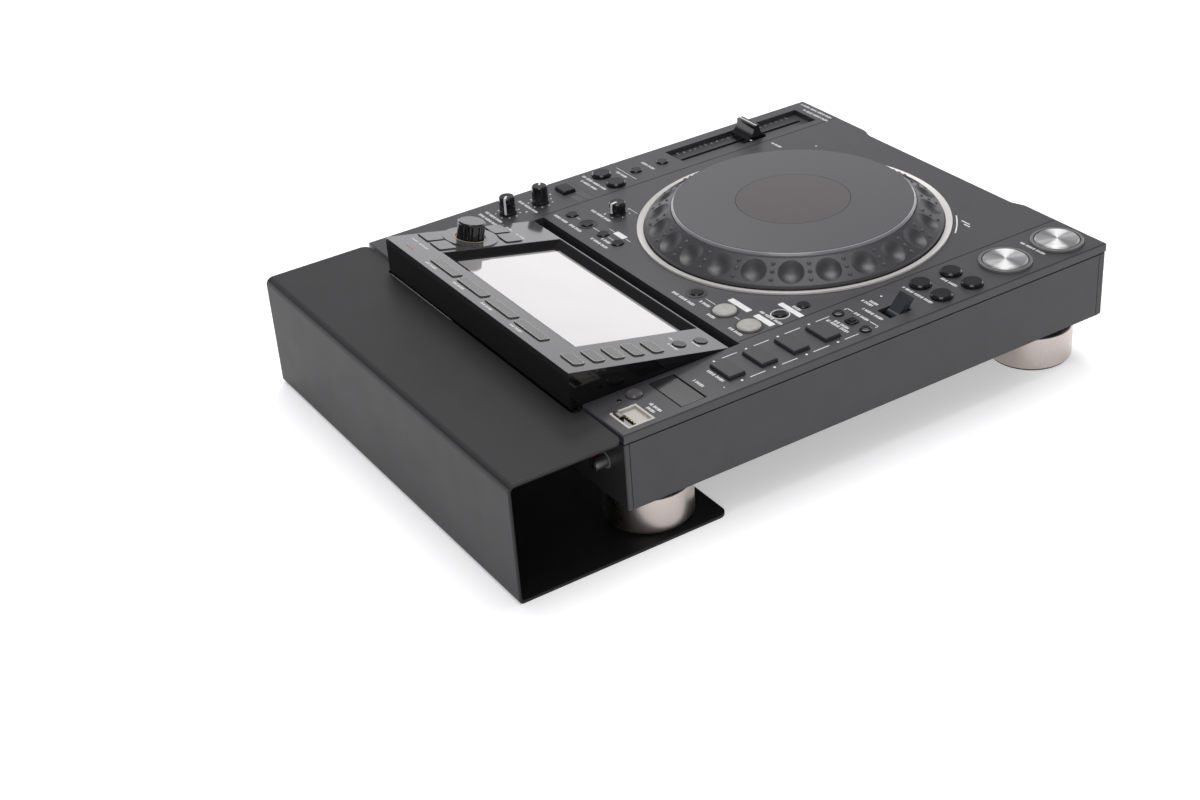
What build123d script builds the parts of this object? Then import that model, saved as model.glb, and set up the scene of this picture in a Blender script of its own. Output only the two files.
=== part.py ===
from build123d import *
import os
from math import cos, radians, sin, sqrt

# Layout of the top, left to right and front to rear. X is the user's right, Y the rear, Z up, in millimetres
jog_diameter = 202.4
left_strip = 46.25
left_gap = 10.05
right_gap = 18.8
right_strip = 42.5
front_margin = 33.0
key_zone = 26.7
groove_width = 8.2
screen_seat = 105.3

# Heights above the table
panel_top = 82.8
cover_bottom = 31.4

# Shell of the case
panel_skirt = 6.0
panel_wall = 2.5
cover_wall = 2.5
panel_edge_chamfer = 0.6
shadow_gap = 0.9
shadow_depth = 1.0
seam_gap = 0.4
front_return = 5.2
rear_return = 3.2
corner_radius = 1.5
bay_width = 169.0
bay_depth = 3.5
bay_run = 9.0
bay_round = 10.0
strip_line = 0.6
base_plate = 1.5
base_inset = 1.5
base_lip = 10.6
lip_wall = 1.5

# Fits
key_clearance = 0.35
pivot_clearance = 0.05
small_gap = 0.3

# Feet
foot_radius = 28.0
foot_wall = 3.0
foot_side_inset = 32.0
foot_front_inset = 32.3
foot_rear_inset = 33.8
foot_boss_radius = 20.0
foot_web = 4.0
sleeve_length = 23.0
pad_inset = 1.5
pad_show = 1.5

# Rear guard, a folded steel sheet that the rear feet stand on
guard_side_margin = 1.0
guard_sheet = 2.0
guard_reach = 77.5
guard_top = 80.6
guard_tongue = 146.7
guard_top_bend = 5.0
guard_low_bend = 3.5
guard_corner = 6.0
guard_gap = 0.8
guard_notch_gap = 2.6
guard_notch_rear_gap = 1.0
guard_notch_corner = 3.0
guard_travel = 140.0

# Jog wheel
jog_rim_low = 0.8
jog_side = 2.4
jog_top_radius = 83.4
jog_slope_top = 14.3
jog_ledge_radius = 78.0
jog_ledge = 12.3
jog_web = 3.0
jog_web_low = 1.2
jog_hub_radius = 26.0
jog_hub_top = 9.2
jog_post_radius = 20.0
jog_post_head = 38.0
jog_post_flange = 42.0
jog_flange_thick = 4.0
jog_plate_radius = 82.5
jog_plate_float = 0.5
jog_plate_thick = 4.2
jog_plate_chamfer = 1.6
jog_window_radius = 38.6
jog_window_line = 0.4
dimple_count = 24
dimple_phase = 6.7
dimple_sphere = 14.0
dimple_depth = 3.1
nub_radius = 1.5
nub_height = 0.8
nub_pitch = 6.0
trim_gap = 0.9
trim_width = 4.4
trim_height = 1.6
trim_inner_height = 0.5

# Tilted screen unit, in its own face: u to the right, v up the slope, w out of the face
screen_tilt = 11.9
screen_left = 115.7
screen_right = 114.5
screen_overhang = 7.2
screen_floor = 74.6
tray_wall = 2.0
bezel_thick = 4.5
window_left_margin = 31.7
window_right_margin = 36.5
window_low = 0.9
window_high = 91.8
window_bevel = 4.4
window_sill = 6.0
glass_thick = 3.5
glass_margin = 2.0
housing_wall = 2.5
browse_key_length = 31.0
browse_key_width = 7.6
browse_key_rear_inset = 12.2
browse_key_inset = 61.2
browse_key_pitch = 35.7
browse_key_count = 4
source_key_length = 16.5
source_key_width = 8.0
source_key_inset = 15.9
source_key_first = 45.8
source_key_pitch = 14.1
source_key_count = 5
slope_key_depth = 5.0
slope_key_proud = 0.8
side_key_radius = 4.2
side_key_inset = 14.1
side_key_first = 11.0
side_key_pitch = 16.0
side_key_count = 2
selector_inset = 17.2
selector_v = 60.0
selector_ring_radius = 18.7
selector_ring_inner = 10.4
selector_ring_height = 0.8
selector_radius = 9.4
selector_height = 11.8
selector_flutes = 12
selector_flute_radius = 1.4
selector_shaft = 3.0
selector_shaft_depth = 6.0
corner_key_length = 14.4
corner_key_width = 12.6
corner_key_reach_u = 8.4
corner_key_reach_v = 25.4
corner_key_gap = 1.2

# Transport keys on the left strip, measured from the front edge
strip_axis = 22.5
play_from_front = 22.0
cue_from_front = 66.9
disc_key_radius = 14.6
disc_key_proud = 2.3
disc_ring_radius = 17.3
disc_ring_height = 1.7
search_from_front = 103.9
track_from_front = 129.2
transport_key_radius = 7.0
transport_key_proud = 2.6
transport_key_half_pitch = 10.0
lever_from_front = 163.4
lever_offset = -5.3
lever_width = 10.2
lever_thickness = 5.0
lever_tip = 3.6
lever_length = 16.2
lever_lean = 40.0
lever_pivot_depth = 4.2
lever_slot_width = 12.8
lever_slot_length = 17.2
lever_pin_radius = 1.2
lever_hub_radius = 3.4
cheek_thick = 2.2
bank_from_front = 192.8
bank_pitch = 13.2
bank_key_radius = 3.6
bank_key_proud = 1.6

# Media block on the left strip, measured from the rear edge
hot_cue_from_rear = 88.8
hot_cue_pitch = 23.9
hot_cue_count = 4
hot_cue_width = 20.4
hot_cue_length = 12.0
hot_cue_proud = 2.4
door_from_rear = 52.5
door_width = 34.0
door_length = 18.5
door_thick = 1.7
door_hinge_inset = 1.9
door_pin_radius = 0.7
door_pin_length = 1.2
well_depth = 7.4
stop_from_rear = 29.8
stop_offset = 11.5
stop_key_radius = 5.0
stop_key_proud = 2.0
usb_from_rear = 16.0
usb_offset = -7.2
usb_width = 20.5
usb_length = 18.5
usb_rim = 1.4
usb_mouth_width = 13.0
usb_mouth_length = 5.4
usb_mouth_depth = 9.0
usb_recess = 2.0

# Keys between the groove and the jog wheel, measured from the groove's front edge
row_from_groove = 17.4
loop_key_radius = 7.7
loop_key_proud = 1.5
loop_in_inset = 11.9
loop_pitch = 25.6
small_key_radius = 4.3
small_key_proud = 1.0
reloop_inset = 68.2
quantize_from_groove = 41.4
slip_from_groove = 59.4
call_inset_right = (70.6, 52.6, 32.0, 12.7)
jog_adjust_inset_right = 30.4
jog_adjust_from_groove = 43.8
jog_adjust_radius = 6.2
jog_adjust_tip = 5.7
jog_adjust_height = 8.4
jog_adjust_skirt = 0.6
jog_adjust_flutes = 9
jog_adjust_flute_radius = 1.2

# Right strip
right_axis = 22.7
knob_radius = 6.2
knob_top_radius = 5.5
knob_height = 13.0
knob_flutes = 16
knob_flute_radius = 0.65
knob_skirt = 1.6
knob_shaft = 3.0
release_from_rear = 98.0
touch_from_rear = 124.7
mode_key_from_rear = 148.6
mode_key_offset = 5.4
mode_key_width = 13.2
mode_key_length = 9.8
mode_key_proud = 2.4
sync_from_rear = 182.2
sync_half_pitch = 9.7
sync_key_radius = 6.9
sync_key_proud = 2.6
tempo_range_from_front = 169.8
master_tempo_from_front = 146.8
tempo_key_radius = 4.3
tempo_key_proud = 1.2

# Tempo slider
slider_recess_width = 26.0
slider_recess_length = 120.0
slider_recess_depth = 3.5
slider_recess_wall = 1.5
slider_from_front = 75.3
slider_travel = 100.0
slider_rest = -6.5
slider_slot = 3.2
slider_cap_width = 21.0
slider_cap_length = 16.5
slider_cap_height = 12.5
slider_ridge = 5.0
slider_cap_float = 1.0
slider_stem = 1.8
slider_stem_length = 7.0
slider_body_width = 18.0
slider_body_height = 9.0

# Boards, drive and power supply
board_drop = 12.0
right_board_from_rear = 70.0
board_thick = 1.6
switch_size = 5.0
switch_height = 3.0
switch_gap = 1.3
flange_reach = 1.0
flange_thick = 1.2
post_radius = 3.0
drive_width = 148.0
drive_length = 136.0
drive_low = 44.5
drive_high = 64.0
disc_slot_width = 130.0
disc_slot_height = 5.2
disc_slot_level = 54.5
disc_slot_depth = 124.0
leg_radius = 4.5
screw_radius = 1.5
screw_clearance = 0.1
screw_head_radius = 2.9
screw_head_height = 1.8
screw_length = 7.0
psu_width = 102.0
psu_length = 62.0
psu_low = 40.0
psu_high = 66.0
psu_right_inset = 46.0
psu_rear_inset = 40.0
main_board_width = 150.0
main_board_length = 130.0
main_board_level = 38.0
main_board_inset = 22.0
main_board_rear_inset = 16.0
main_board_post_inset = 8.0
main_board_height = 12.0
# Share across, share along, share of width, share of length, share of height
board_parts = ((0.27, 0.23, 0.21, 0.25, 1.0), (0.63, 0.31, 0.15, 0.17, 0.34), (0.4, 0.65, 0.19, 0.14, 0.25),
               (0.8, 0.73, 0.11, 0.22, 0.75), (0.13, 0.77, 0.09, 0.15, 0.67))

# Front and rear fittings
eject_u = 55.0
eject_level = 67.2
eject_width = 12.0
eject_height = 3.6
eject_proud = 1.2
eject_depth = 9.0
jack_level = 56.0
inlet_x = 112.0
inlet_width = 27.0
inlet_height = 19.6
inlet_flange = 2.2
inlet_mouth_width = 24.0
inlet_mouth_height = 16.0
inlet_mouth_depth = 15.0
inlet_depth = 22.0
switch_x = 78.0
rocker_width = 18.0
rocker_height = 11.2
rocker_lean = 8.0
rocker_depth = 8.0
rocker_hole_height = 14.6
rocker_pin_radius = 1.0
phono_x = (-138.0, -122.0, -98.0)
phono_radius = 4.1
phono_reach = 9.0
phono_bore = 1.7
phono_block = 12.0
lan_x = -52.0
usb_b_x = -72.0

# Positions worked out from the sizes above
jog_radius = jog_diameter / 2
case_width = left_strip + left_gap + jog_diameter + right_gap + right_strip
guard_width = case_width + 2 * guard_side_margin
case_depth = front_margin + jog_diameter + key_zone + groove_width + screen_seat
left_edge = -case_width / 2
right_edge = case_width / 2
front_edge = -case_depth / 2
rear_edge = case_depth / 2
jog_x = left_edge + left_strip + left_gap + jog_radius
jog_y = front_edge + front_margin + jog_radius
groove_front = jog_y + jog_radius + key_zone
screen_front = groove_front + groove_width
left_axis_x = left_edge + strip_axis
right_axis_x = right_edge - right_axis
centre_left = left_edge + left_strip
centre_right = right_edge - right_strip
panel_under = panel_top - panel_wall
skirt_bottom = panel_top - panel_skirt
cover_top = skirt_bottom - shadow_gap
base_bottom = cover_bottom - base_plate
board_top = panel_top - board_drop
lever_y = front_edge + lever_from_front
lever_x = left_axis_x + lever_offset
lever_z = panel_top - lever_pivot_depth
door_y = rear_edge - door_from_rear
door_hinge_y = door_y + door_length / 2 - door_hinge_inset
door_hinge_z = panel_top - door_thick / 2
usb_x = left_axis_x + usb_offset
usb_y = rear_edge - usb_from_rear
slider_y = front_edge + slider_from_front
rocker_pivot_y = rear_edge - cover_wall - pivot_clearance - 1.6
foot_places = [
    (side * (case_width / 2 - foot_side_inset), y)
    for side in (-1, 1)
    for y in (front_edge + foot_front_inset, rear_edge - foot_rear_inset)
]
row_y = groove_front - row_from_groove
tilt = radians(screen_tilt)
screen_face = Plane(
    origin=(0, screen_front, panel_top), x_dir=(1, 0, 0), z_dir=(0, -sin(tilt), cos(tilt))
)
screen_length = (screen_seat + screen_overhang) / cos(tilt)
screen_rise = (screen_seat + screen_overhang) * sin(tilt) / cos(tilt)
browse_key_v = screen_length - browse_key_rear_inset
window_left = window_left_margin - screen_left
window_right = screen_right - window_right_margin
selector_u = screen_right - selector_inset
source_key_u = source_key_inset - screen_left
browse_key_u = [browse_key_inset - screen_left + step * browse_key_pitch for step in range(browse_key_count)]
source_key_v = [source_key_first + step * source_key_pitch for step in range(source_key_count)]
side_key_uv = [(side_key_inset - screen_left, side_key_first + step * side_key_pitch)
               for step in range(side_key_count)]

# Round keys of the flat panel: centre, radius, height above the panel
round_keys = {
    "search_back_key": (left_axis_x - transport_key_half_pitch, front_edge + search_from_front,
                        transport_key_radius, transport_key_proud),
    "search_forward_key": (left_axis_x + transport_key_half_pitch, front_edge + search_from_front,
                           transport_key_radius, transport_key_proud),
    "track_back_key": (left_axis_x - transport_key_half_pitch, front_edge + track_from_front,
                       transport_key_radius, transport_key_proud),
    "track_forward_key": (left_axis_x + transport_key_half_pitch, front_edge + track_from_front,
                          transport_key_radius, transport_key_proud),
    "usb_stop_key": (left_axis_x + stop_offset, rear_edge - stop_from_rear,
                     stop_key_radius, stop_key_proud),
    "loop_in_key": (centre_left + loop_in_inset, row_y, loop_key_radius, loop_key_proud),
    "loop_out_key": (centre_left + loop_in_inset + loop_pitch, row_y, loop_key_radius, loop_key_proud),
    "reloop_key": (centre_left + reloop_inset, row_y, small_key_radius, small_key_proud),
    "quantize_key": (centre_left + loop_in_inset, groove_front - quantize_from_groove,
                     small_key_radius, small_key_proud),
    "slip_key": (centre_left + loop_in_inset, groove_front - slip_from_groove,
                 small_key_radius, small_key_proud),
    "sync_master_key": (right_axis_x - sync_half_pitch, rear_edge - sync_from_rear,
                        sync_key_radius, sync_key_proud),
    "sync_key": (right_axis_x + sync_half_pitch, rear_edge - sync_from_rear,
                 sync_key_radius, sync_key_proud),
    "tempo_range_key": (right_axis_x, front_edge + tempo_range_from_front,
                        tempo_key_radius, tempo_key_proud),
    "master_tempo_key": (right_axis_x, front_edge + master_tempo_from_front,
                         tempo_key_radius, tempo_key_proud),
}
memory_key_places = [(centre_right - inset, row_y) for inset in call_inset_right]
bank_key_places = [(left_axis_x + step * bank_pitch, front_edge + bank_from_front) for step in (-1, 0, 1)]
hot_cue_places = [(left_axis_x, rear_edge - hot_cue_from_rear - step * hot_cue_pitch)
                  for step in range(hot_cue_count)]
disc_key_places = {
    "play_button": (left_axis_x, front_edge + play_from_front),
    "cue_button": (left_axis_x, front_edge + cue_from_front),
}
knob_places = {
    "release_knob": (right_axis_x, rear_edge - release_from_rear),
    "touch_brake_knob": (right_axis_x, rear_edge - touch_from_rear),
    "jog_adjust_knob": (centre_right - jog_adjust_inset_right, groove_front - jog_adjust_from_groove),
}
mode_key_x = right_axis_x + mode_key_offset
mode_key_y = rear_edge - mode_key_from_rear
corner_key_places = [(selector_u + su * corner_key_reach_u, selector_v + sv * corner_key_reach_v)
                     for su in (-1, 1) for sv in (-1, 1)]


def block(x0, x1, y0, y1, z0, z1):
    """Box between two corners."""
    return Pos((x0 + x1) / 2, (y0 + y1) / 2, (z0 + z1) / 2) * Box(x1 - x0, y1 - y0, z1 - z0)


def grouped(pieces):
    """Several solids that share one node."""
    return Compound([solid for piece in pieces for solid in piece.solids()])


def rod(x, y, z0, z1, radius):
    """Upright cylinder between two heights."""
    return Pos(x, y, (z0 + z1) / 2) * Cylinder(radius, z1 - z0)


def tube(x, y, z0, z1, outer, inner):
    """Upright ring between two heights."""
    ring = Circle(outer) - Circle(inner)
    return Pos(x, y, z0) * extrude(ring, z1 - z0)


def on_face(u, v, w):
    """Place on the tilted screen face."""
    return screen_face.location * Pos(u, v, w)


def case_outline(inset):
    """Plan of the case drawn in by inset, with the shallow bay at the disc slot."""
    front = front_edge + inset
    half = bay_width / 2
    plan = Rectangle(case_width - 2 * inset, case_depth - 2 * inset)
    bay = make_face(Polyline(
        (-half, front), (-half + bay_run, front + bay_depth), (half - bay_run, front + bay_depth),
        (half, front), (half, front - 1), (-half, front - 1), (-half, front)))
    plan = plan - bay
    turns = [v for v in plan.vertices() if abs(v.X) < half + 0.1 and v.Y < front + bay_depth + 0.1]
    return fillet(turns, bay_round)


def wall_band(outer, inner, z0, z1):
    """Upright band round the case between two insets."""
    return Pos(0, 0, z0) * extrude(case_outline(outer) - case_outline(inner), z1 - z0)


def cover_ring():
    """The four outer covers as one ring, with the thin band that leaves a shadow line."""
    ring = wall_band(0, cover_wall, cover_bottom, cover_top)
    corners = ring.edges().filter_by(Axis.Z).filter_by(
        lambda e: (abs(abs(e.center().X) - case_width / 2) < 0.01
                   and abs(abs(e.center().Y) - case_depth / 2) < 0.01))
    ring = fillet(corners, corner_radius)
    return ring + wall_band(shadow_depth, cover_wall, cover_top, skirt_bottom)


def key_hole(x, y, radius):
    return rod(x, y, panel_under - 1, panel_top + 1, radius + key_clearance)


def pivot_cheeks(x, half_width, y, z, z_top, pin_radius):
    """Two lugs under the panel with a bore for a pivot pin."""
    cheeks = []
    for side in (-1, 1):
        near = x + side * half_width
        far = near + side * cheek_thick
        lug = block(min(near, far), max(near, far), y - 4, y + 4, z - 3.4, z_top)
        bore = Pos(x, y, z) * Rot(0, 90, 0) * Cylinder(pin_radius + pivot_clearance, 4 * half_width)
        cheeks.append(lug - bore)
    return cheeks


def top_panel():
    panel = Pos(0, 0, skirt_bottom) * extrude(case_outline(0), panel_skirt)
    panel = chamfer(panel.edges().group_by(Axis.Z)[-1], panel_edge_chamfer)
    panel -= Pos(0, 0, skirt_bottom - 1) * extrude(case_outline(cover_wall), panel_skirt - panel_wall + 1)

    # Seat of the screen unit, open at the rear, and the groove in front of it
    seat_left = -screen_left - small_gap
    seat_right = screen_right + small_gap
    seat = block(seat_left, seat_right, groove_front, rear_edge + 1, screen_floor, panel_top + 1)
    tray = block(seat_left - tray_wall, seat_right + tray_wall, groove_front - tray_wall, rear_edge,
                 screen_floor - tray_wall, panel_under)

    # Recess of the tempo slider with its slot
    recess_floor = panel_top - slider_recess_depth
    half_x = slider_recess_width / 2
    half_y = slider_recess_length / 2
    pocket = block(right_axis_x - half_x, right_axis_x + half_x, slider_y - half_y, slider_y + half_y,
                   recess_floor, panel_top + 1)
    pan = block(right_axis_x - half_x - slider_recess_wall, right_axis_x + half_x + slider_recess_wall,
                slider_y - half_y - slider_recess_wall, slider_y + half_y + slider_recess_wall,
                recess_floor - slider_recess_wall, panel_under)
    slot_half = (slider_travel + slider_stem_length) / 2 + 1
    slot = block(right_axis_x - slider_slot / 2, right_axis_x + slider_slot / 2,
                 slider_y - slot_half, slider_y + slot_half, recess_floor - 5, panel_top)
    panel = panel + tray + pan

    # Posts that carry the key board, and the lugs that hold the lever's pin
    posts = [rod(x, y, board_top, panel_under, post_radius) for x, y in board_posts()]
    cheeks = pivot_cheeks(lever_x, lever_slot_width / 2 + 0.4, lever_y, lever_z, panel_under,
                          lever_pin_radius)
    for piece in posts + cheeks:
        panel += piece

    cuts = [seat, pocket, slot]
    cuts += [key_hole(x, y, radius) for x, y, radius, proud in round_keys.values()]
    cuts += [key_hole(x, y, small_key_radius) for x, y in memory_key_places]
    cuts += [key_hole(x, y, bank_key_radius) for x, y in bank_key_places]
    cuts += [rod(x, y, panel_under - 1, panel_top + 1, disc_ring_radius)
             for x, y in disc_key_places.values()]
    cuts += [rod(x, y, panel_under - 1, panel_top + 1, knob_shaft + pivot_clearance)
             for x, y in knob_places.values()]
    for x, y in hot_cue_places:
        half_w = hot_cue_width / 2 + key_clearance
        half_l = hot_cue_length / 2 + key_clearance
        cuts.append(block(x - half_w, x + half_w, y - half_l, y + half_l, panel_under - 1, panel_top + 1))
    cuts.append(block(mode_key_x - mode_key_width / 2 - key_clearance,
                      mode_key_x + mode_key_width / 2 + key_clearance,
                      mode_key_y - mode_key_length / 2 - key_clearance,
                      mode_key_y + mode_key_length / 2 + key_clearance, panel_under - 1, panel_top + 1))
    cuts.append(block(lever_x - lever_slot_width / 2, lever_x + lever_slot_width / 2,
                      lever_y - lever_slot_length / 2, lever_y + lever_slot_length / 2,
                      panel_under - 1, panel_top + 1))
    cuts.append(block(left_axis_x - door_width / 2, left_axis_x + door_width / 2,
                      door_y - door_length / 2, door_y + door_length / 2, panel_under - 1, panel_top + 1))
    pin_half = door_width / 2 + door_pin_length + small_gap
    cuts.append(Pos(left_axis_x, door_hinge_y, door_hinge_z) * Rot(0, 90, 0)
                * Cylinder(door_pin_radius + pivot_clearance, 2 * pin_half))
    cuts.append(block(usb_x - usb_width / 2 - small_gap / 2, usb_x + usb_width / 2 + small_gap / 2,
                      usb_y - usb_length / 2 - small_gap / 2, usb_y + usb_length / 2 + small_gap / 2,
                      panel_under - 1, panel_top + 1))
    cuts.append(rod(jog_x, jog_y, panel_under - 1, panel_top + 1, jog_post_radius + small_gap))
    # Fine lines between the centre and the two strips
    for x in (centre_left, centre_right):
        cuts.append(block(x - strip_line / 2, x + strip_line / 2, front_edge - 1, rear_edge + 1,
                          panel_top - strip_line, panel_top + 1)
                    - block(x - 2, x + 2, groove_front, rear_edge + 2, panel_top - 2, panel_top + 2))
    for cut in cuts:
        panel -= cut
    return panel


def front_zone(gap):
    """Everything that belongs to the front cover: the front return and the whole of the bay."""
    edge = front_edge + front_return + gap
    reach = bay_width / 2 + bay_round + gap
    return (block(left_edge - 1, right_edge + 1, front_edge - 1, edge, cover_bottom - 1, panel_top)
            + block(-reach, reach, front_edge - 1, edge + bay_depth, cover_bottom - 1, panel_top))


def front_panel():
    panel = cover_ring() & front_zone(0)
    slot = block(-disc_slot_width / 2, disc_slot_width / 2, front_edge - 1, front_edge + 10,
                 disc_slot_level - disc_slot_height / 2, disc_slot_level + disc_slot_height / 2)
    button = block(eject_u - eject_width / 2 - key_clearance, eject_u + eject_width / 2 + key_clearance,
                   front_edge - 1, front_edge + 10, eject_level - eject_height / 2 - key_clearance,
                   eject_level + eject_height / 2 + key_clearance)
    return panel - slot - button


def rear_panel():
    panel = cover_ring() & block(left_edge - 1, right_edge + 1, rear_edge - rear_return, rear_edge + 1,
                                 cover_bottom - 1, panel_top)
    inner = rear_edge - cover_wall - 1
    tray_reach = tray_wall + 2 * small_gap
    cuts = [block(-screen_left - tray_reach, screen_right + tray_reach, inner, rear_edge + 1,
                  screen_floor - tray_wall, panel_top)]
    cuts.append(block(inlet_x - inlet_width / 2 - small_gap, inlet_x + inlet_width / 2 + small_gap, inner,
                      rear_edge + 1, jack_level - inlet_height / 2 - small_gap,
                      jack_level + inlet_height / 2 + small_gap))
    cuts.append(block(switch_x - rocker_width / 2 - small_gap, switch_x + rocker_width / 2 + small_gap,
                      inner, rear_edge + 1,
                      jack_level - rocker_hole_height / 2, jack_level + rocker_hole_height / 2))
    for x in phono_x:
        cuts.append(Pos(x, rear_edge - cover_wall / 2, jack_level) * Rot(90, 0, 0)
                    * Cylinder(phono_radius + small_gap, cover_wall + 2))
    cuts.append(block(usb_b_x - 6 - small_gap, usb_b_x + 6 + small_gap, inner, rear_edge + 1,
                      jack_level - 5.5 - small_gap, jack_level + 5.5 + small_gap))
    cuts.append(block(lan_x - 8 - small_gap, lan_x + 8 + small_gap, inner, rear_edge + 1,
                      jack_level - 6.5 - small_gap, jack_level + 6.5 + small_gap))
    for side in (-1, 1):
        near = switch_x + side * (rocker_width / 2 + small_gap)
        far = near + side * cheek_thick
        lug = block(min(near, far), max(near, far), rocker_pivot_y - 3, rear_edge - cover_wall,
                    jack_level - 3, jack_level + 3)
        panel += lug
    cuts.append(Pos(switch_x, rocker_pivot_y, jack_level) * Rot(0, 90, 0)
                * Cylinder(rocker_pin_radius + pivot_clearance, rocker_width + 4 * cheek_thick))
    return panel - cuts


def side_covers():
    ring = cover_ring()
    keep = block(left_edge - 1, right_edge + 1, front_edge + 1,
                 rear_edge - rear_return - seam_gap, cover_bottom - 1, panel_top)
    return ring & (keep - front_zone(seam_gap))


def sleeve_bottom(y):
    """Lower end of a foot's sleeve: the rear pair stands on the guard's lower plate."""
    return (guard_sheet if y > 0 else 0) + pad_show


def bottom_chassis():
    plate = Pos(0, 0, base_bottom) * extrude(case_outline(base_inset), base_plate)
    chassis = plate + wall_band(cover_wall, cover_wall + lip_wall, cover_bottom, cover_bottom + base_lip)
    for x, y in foot_places:
        chassis += rod(x, y, sleeve_bottom(y) + sleeve_length, base_bottom, foot_boss_radius)
    for x, y in main_board_posts():
        chassis += rod(x, y, cover_bottom, main_board_level, post_radius)
    holes = [rod(x, y, base_bottom - 1, cover_bottom + 1, screw_radius + screw_clearance)
             for x, y in screw_places()]
    return chassis - holes


def foot_sleeves():
    sleeves = []
    for x, y in foot_places:
        low = sleeve_bottom(y)
        cup = rod(x, y, low, low + sleeve_length, foot_radius)
        cup = chamfer(cup.edges().filter_by(GeomType.CIRCLE), 0.5)
        cup -= rod(x, y, low - 1, low + sleeve_length - foot_web, foot_radius - foot_wall)
        sleeves.append(cup)
    return grouped(sleeves)


def foot_pads():
    """Rubber pads under the feet."""
    pads = []
    for x, y in foot_places:
        low = sleeve_bottom(y)
        pad = rod(x, y, low - pad_show, low, foot_radius - pad_inset)
        pad += rod(x, y, low, low + sleeve_length - foot_web, foot_radius - foot_wall - small_gap)
        pads.append(pad)
    return grouped(pads)


def rear_guard():
    rear = rear_edge + guard_reach
    inner_top = rear_edge + guard_gap
    inner_low = rear - guard_tongue
    path = Polyline((0, inner_low, 0), (0, rear, 0), (0, rear, guard_top), (0, inner_top, guard_top))
    corners = [
        (inner_low, 0), (rear, 0), (rear, guard_top), (inner_top, guard_top),
        (inner_top, guard_top - guard_sheet), (rear - guard_sheet, guard_top - guard_sheet),
        (rear - guard_sheet, guard_sheet), (inner_low, guard_sheet)]
    section = make_face(Polyline(*[(0, y, z) for y, z in corners], close=True))
    sheet = Pos(-guard_width / 2, 0, 0) * extrude(section, guard_width, dir=(1, 0, 0))

    def bend(y, z):
        return sheet.edges().filter_by(Axis.X).filter_by(
            lambda e: abs(e.center().Y - y) < 0.01 and abs(e.center().Z - z) < 0.01)

    sheet = fillet(bend(rear, guard_top), guard_top_bend)
    sheet = fillet(bend(rear - guard_sheet, guard_top - guard_sheet), guard_top_bend - guard_sheet)
    sheet = fillet(bend(rear, 0), guard_low_bend)
    sheet = fillet(bend(rear - guard_sheet, guard_sheet), guard_low_bend - guard_sheet)
    corners = sheet.edges().filter_by(Axis.Z).filter_by(lambda e: e.center().Y < rear - 20)
    sheet = fillet(corners, guard_corner)
    notch = block(-screen_left - guard_notch_gap, screen_right + guard_notch_gap, inner_top - 1,
                  rear_edge + screen_overhang + guard_notch_rear_gap, guard_top - 10, guard_top + 1)
    notch = fillet(notch.edges().filter_by(Axis.Z).group_by(Axis.Y)[-1], guard_notch_corner)
    return sheet - notch


def jog_profile(points):
    """Solid turned about the jog axis from radius and height points above the panel."""
    line = Polyline(*[(r, 0, panel_top + z) for r, z in points], close=True)
    return Pos(jog_x, jog_y, 0) * revolve(make_face(line), Axis.Z)


def jog_rim():
    bore = jog_post_radius + pivot_clearance
    web_top = jog_web_low + jog_web
    rim = jog_profile([
        (bore, jog_web_low), (jog_radius - 8, jog_web_low), (jog_radius - 8, jog_rim_low),
        (jog_radius, jog_rim_low), (jog_radius, jog_side), (jog_radius - 0.5, jog_side + 0.8),
        (jog_top_radius, jog_slope_top), (jog_plate_radius + small_gap, jog_slope_top),
        (jog_plate_radius + small_gap, jog_ledge), (jog_ledge_radius, jog_ledge),
        (jog_ledge_radius, web_top), (jog_hub_radius, web_top), (jog_hub_radius, jog_hub_top),
        (bore, jog_hub_top)])
    run = jog_radius - 0.5 - jog_top_radius
    rise = jog_slope_top - jog_side - 0.8
    slope = sqrt(run * run + rise * rise)
    normal_r = rise / slope
    normal_z = run / slope
    mid_r = jog_top_radius + run / 2
    mid_z = panel_top + jog_slope_top - rise / 2
    lift = dimple_sphere - dimple_depth
    nub_sphere = (nub_radius ** 2 + nub_height ** 2) / (2 * nub_height)
    scoops = []
    nubs = []
    for step in range(dimple_count):
        turn = Pos(jog_x, jog_y, 0) * Rot(0, 0, dimple_phase + step * 360 / dimple_count)
        scoops.append(turn * Pos(mid_r + lift * normal_r, 0, mid_z + lift * normal_z) * Sphere(dimple_sphere))
        between = Pos(jog_x, jog_y, 0) * Rot(0, 0, dimple_phase + (step + 0.5) * 360 / dimple_count)
        for place in (-1, 0, 1):
            reach = place * nub_pitch
            seat = Plane(origin=(mid_r - reach * normal_z, 0, mid_z + reach * normal_r),
                         x_dir=(0, 1, 0), z_dir=(normal_r, 0, normal_z))
            nubs.append(between * seat.location * Pos(0, 0, nub_height - nub_sphere) * Sphere(nub_sphere))
    return (rim - scoops) + nubs


def jog_plate():
    low = jog_ledge + jog_plate_float
    top = low + jog_plate_thick
    plate = jog_profile([
        (0, low), (jog_plate_radius, low), (jog_plate_radius, top - jog_plate_chamfer),
        (jog_plate_radius - jog_plate_chamfer, top),
        (jog_window_radius + jog_window_line, top),
        (jog_window_radius + jog_window_line / 2, top - jog_window_line),
        (jog_window_radius, top), (0, top)])
    return plate


def jog_post():
    """Fixed post: flange under the panel, bearing stem, and the display head under the window."""
    return jog_profile([
        (0, -panel_wall - jog_flange_thick), (jog_post_flange, -panel_wall - jog_flange_thick),
        (jog_post_flange, -panel_wall), (jog_post_radius, -panel_wall),
        (jog_post_radius, jog_hub_top + small_gap), (jog_post_head, jog_hub_top + small_gap),
        (jog_post_head, jog_ledge - small_gap), (0, jog_ledge - small_gap)])


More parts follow.
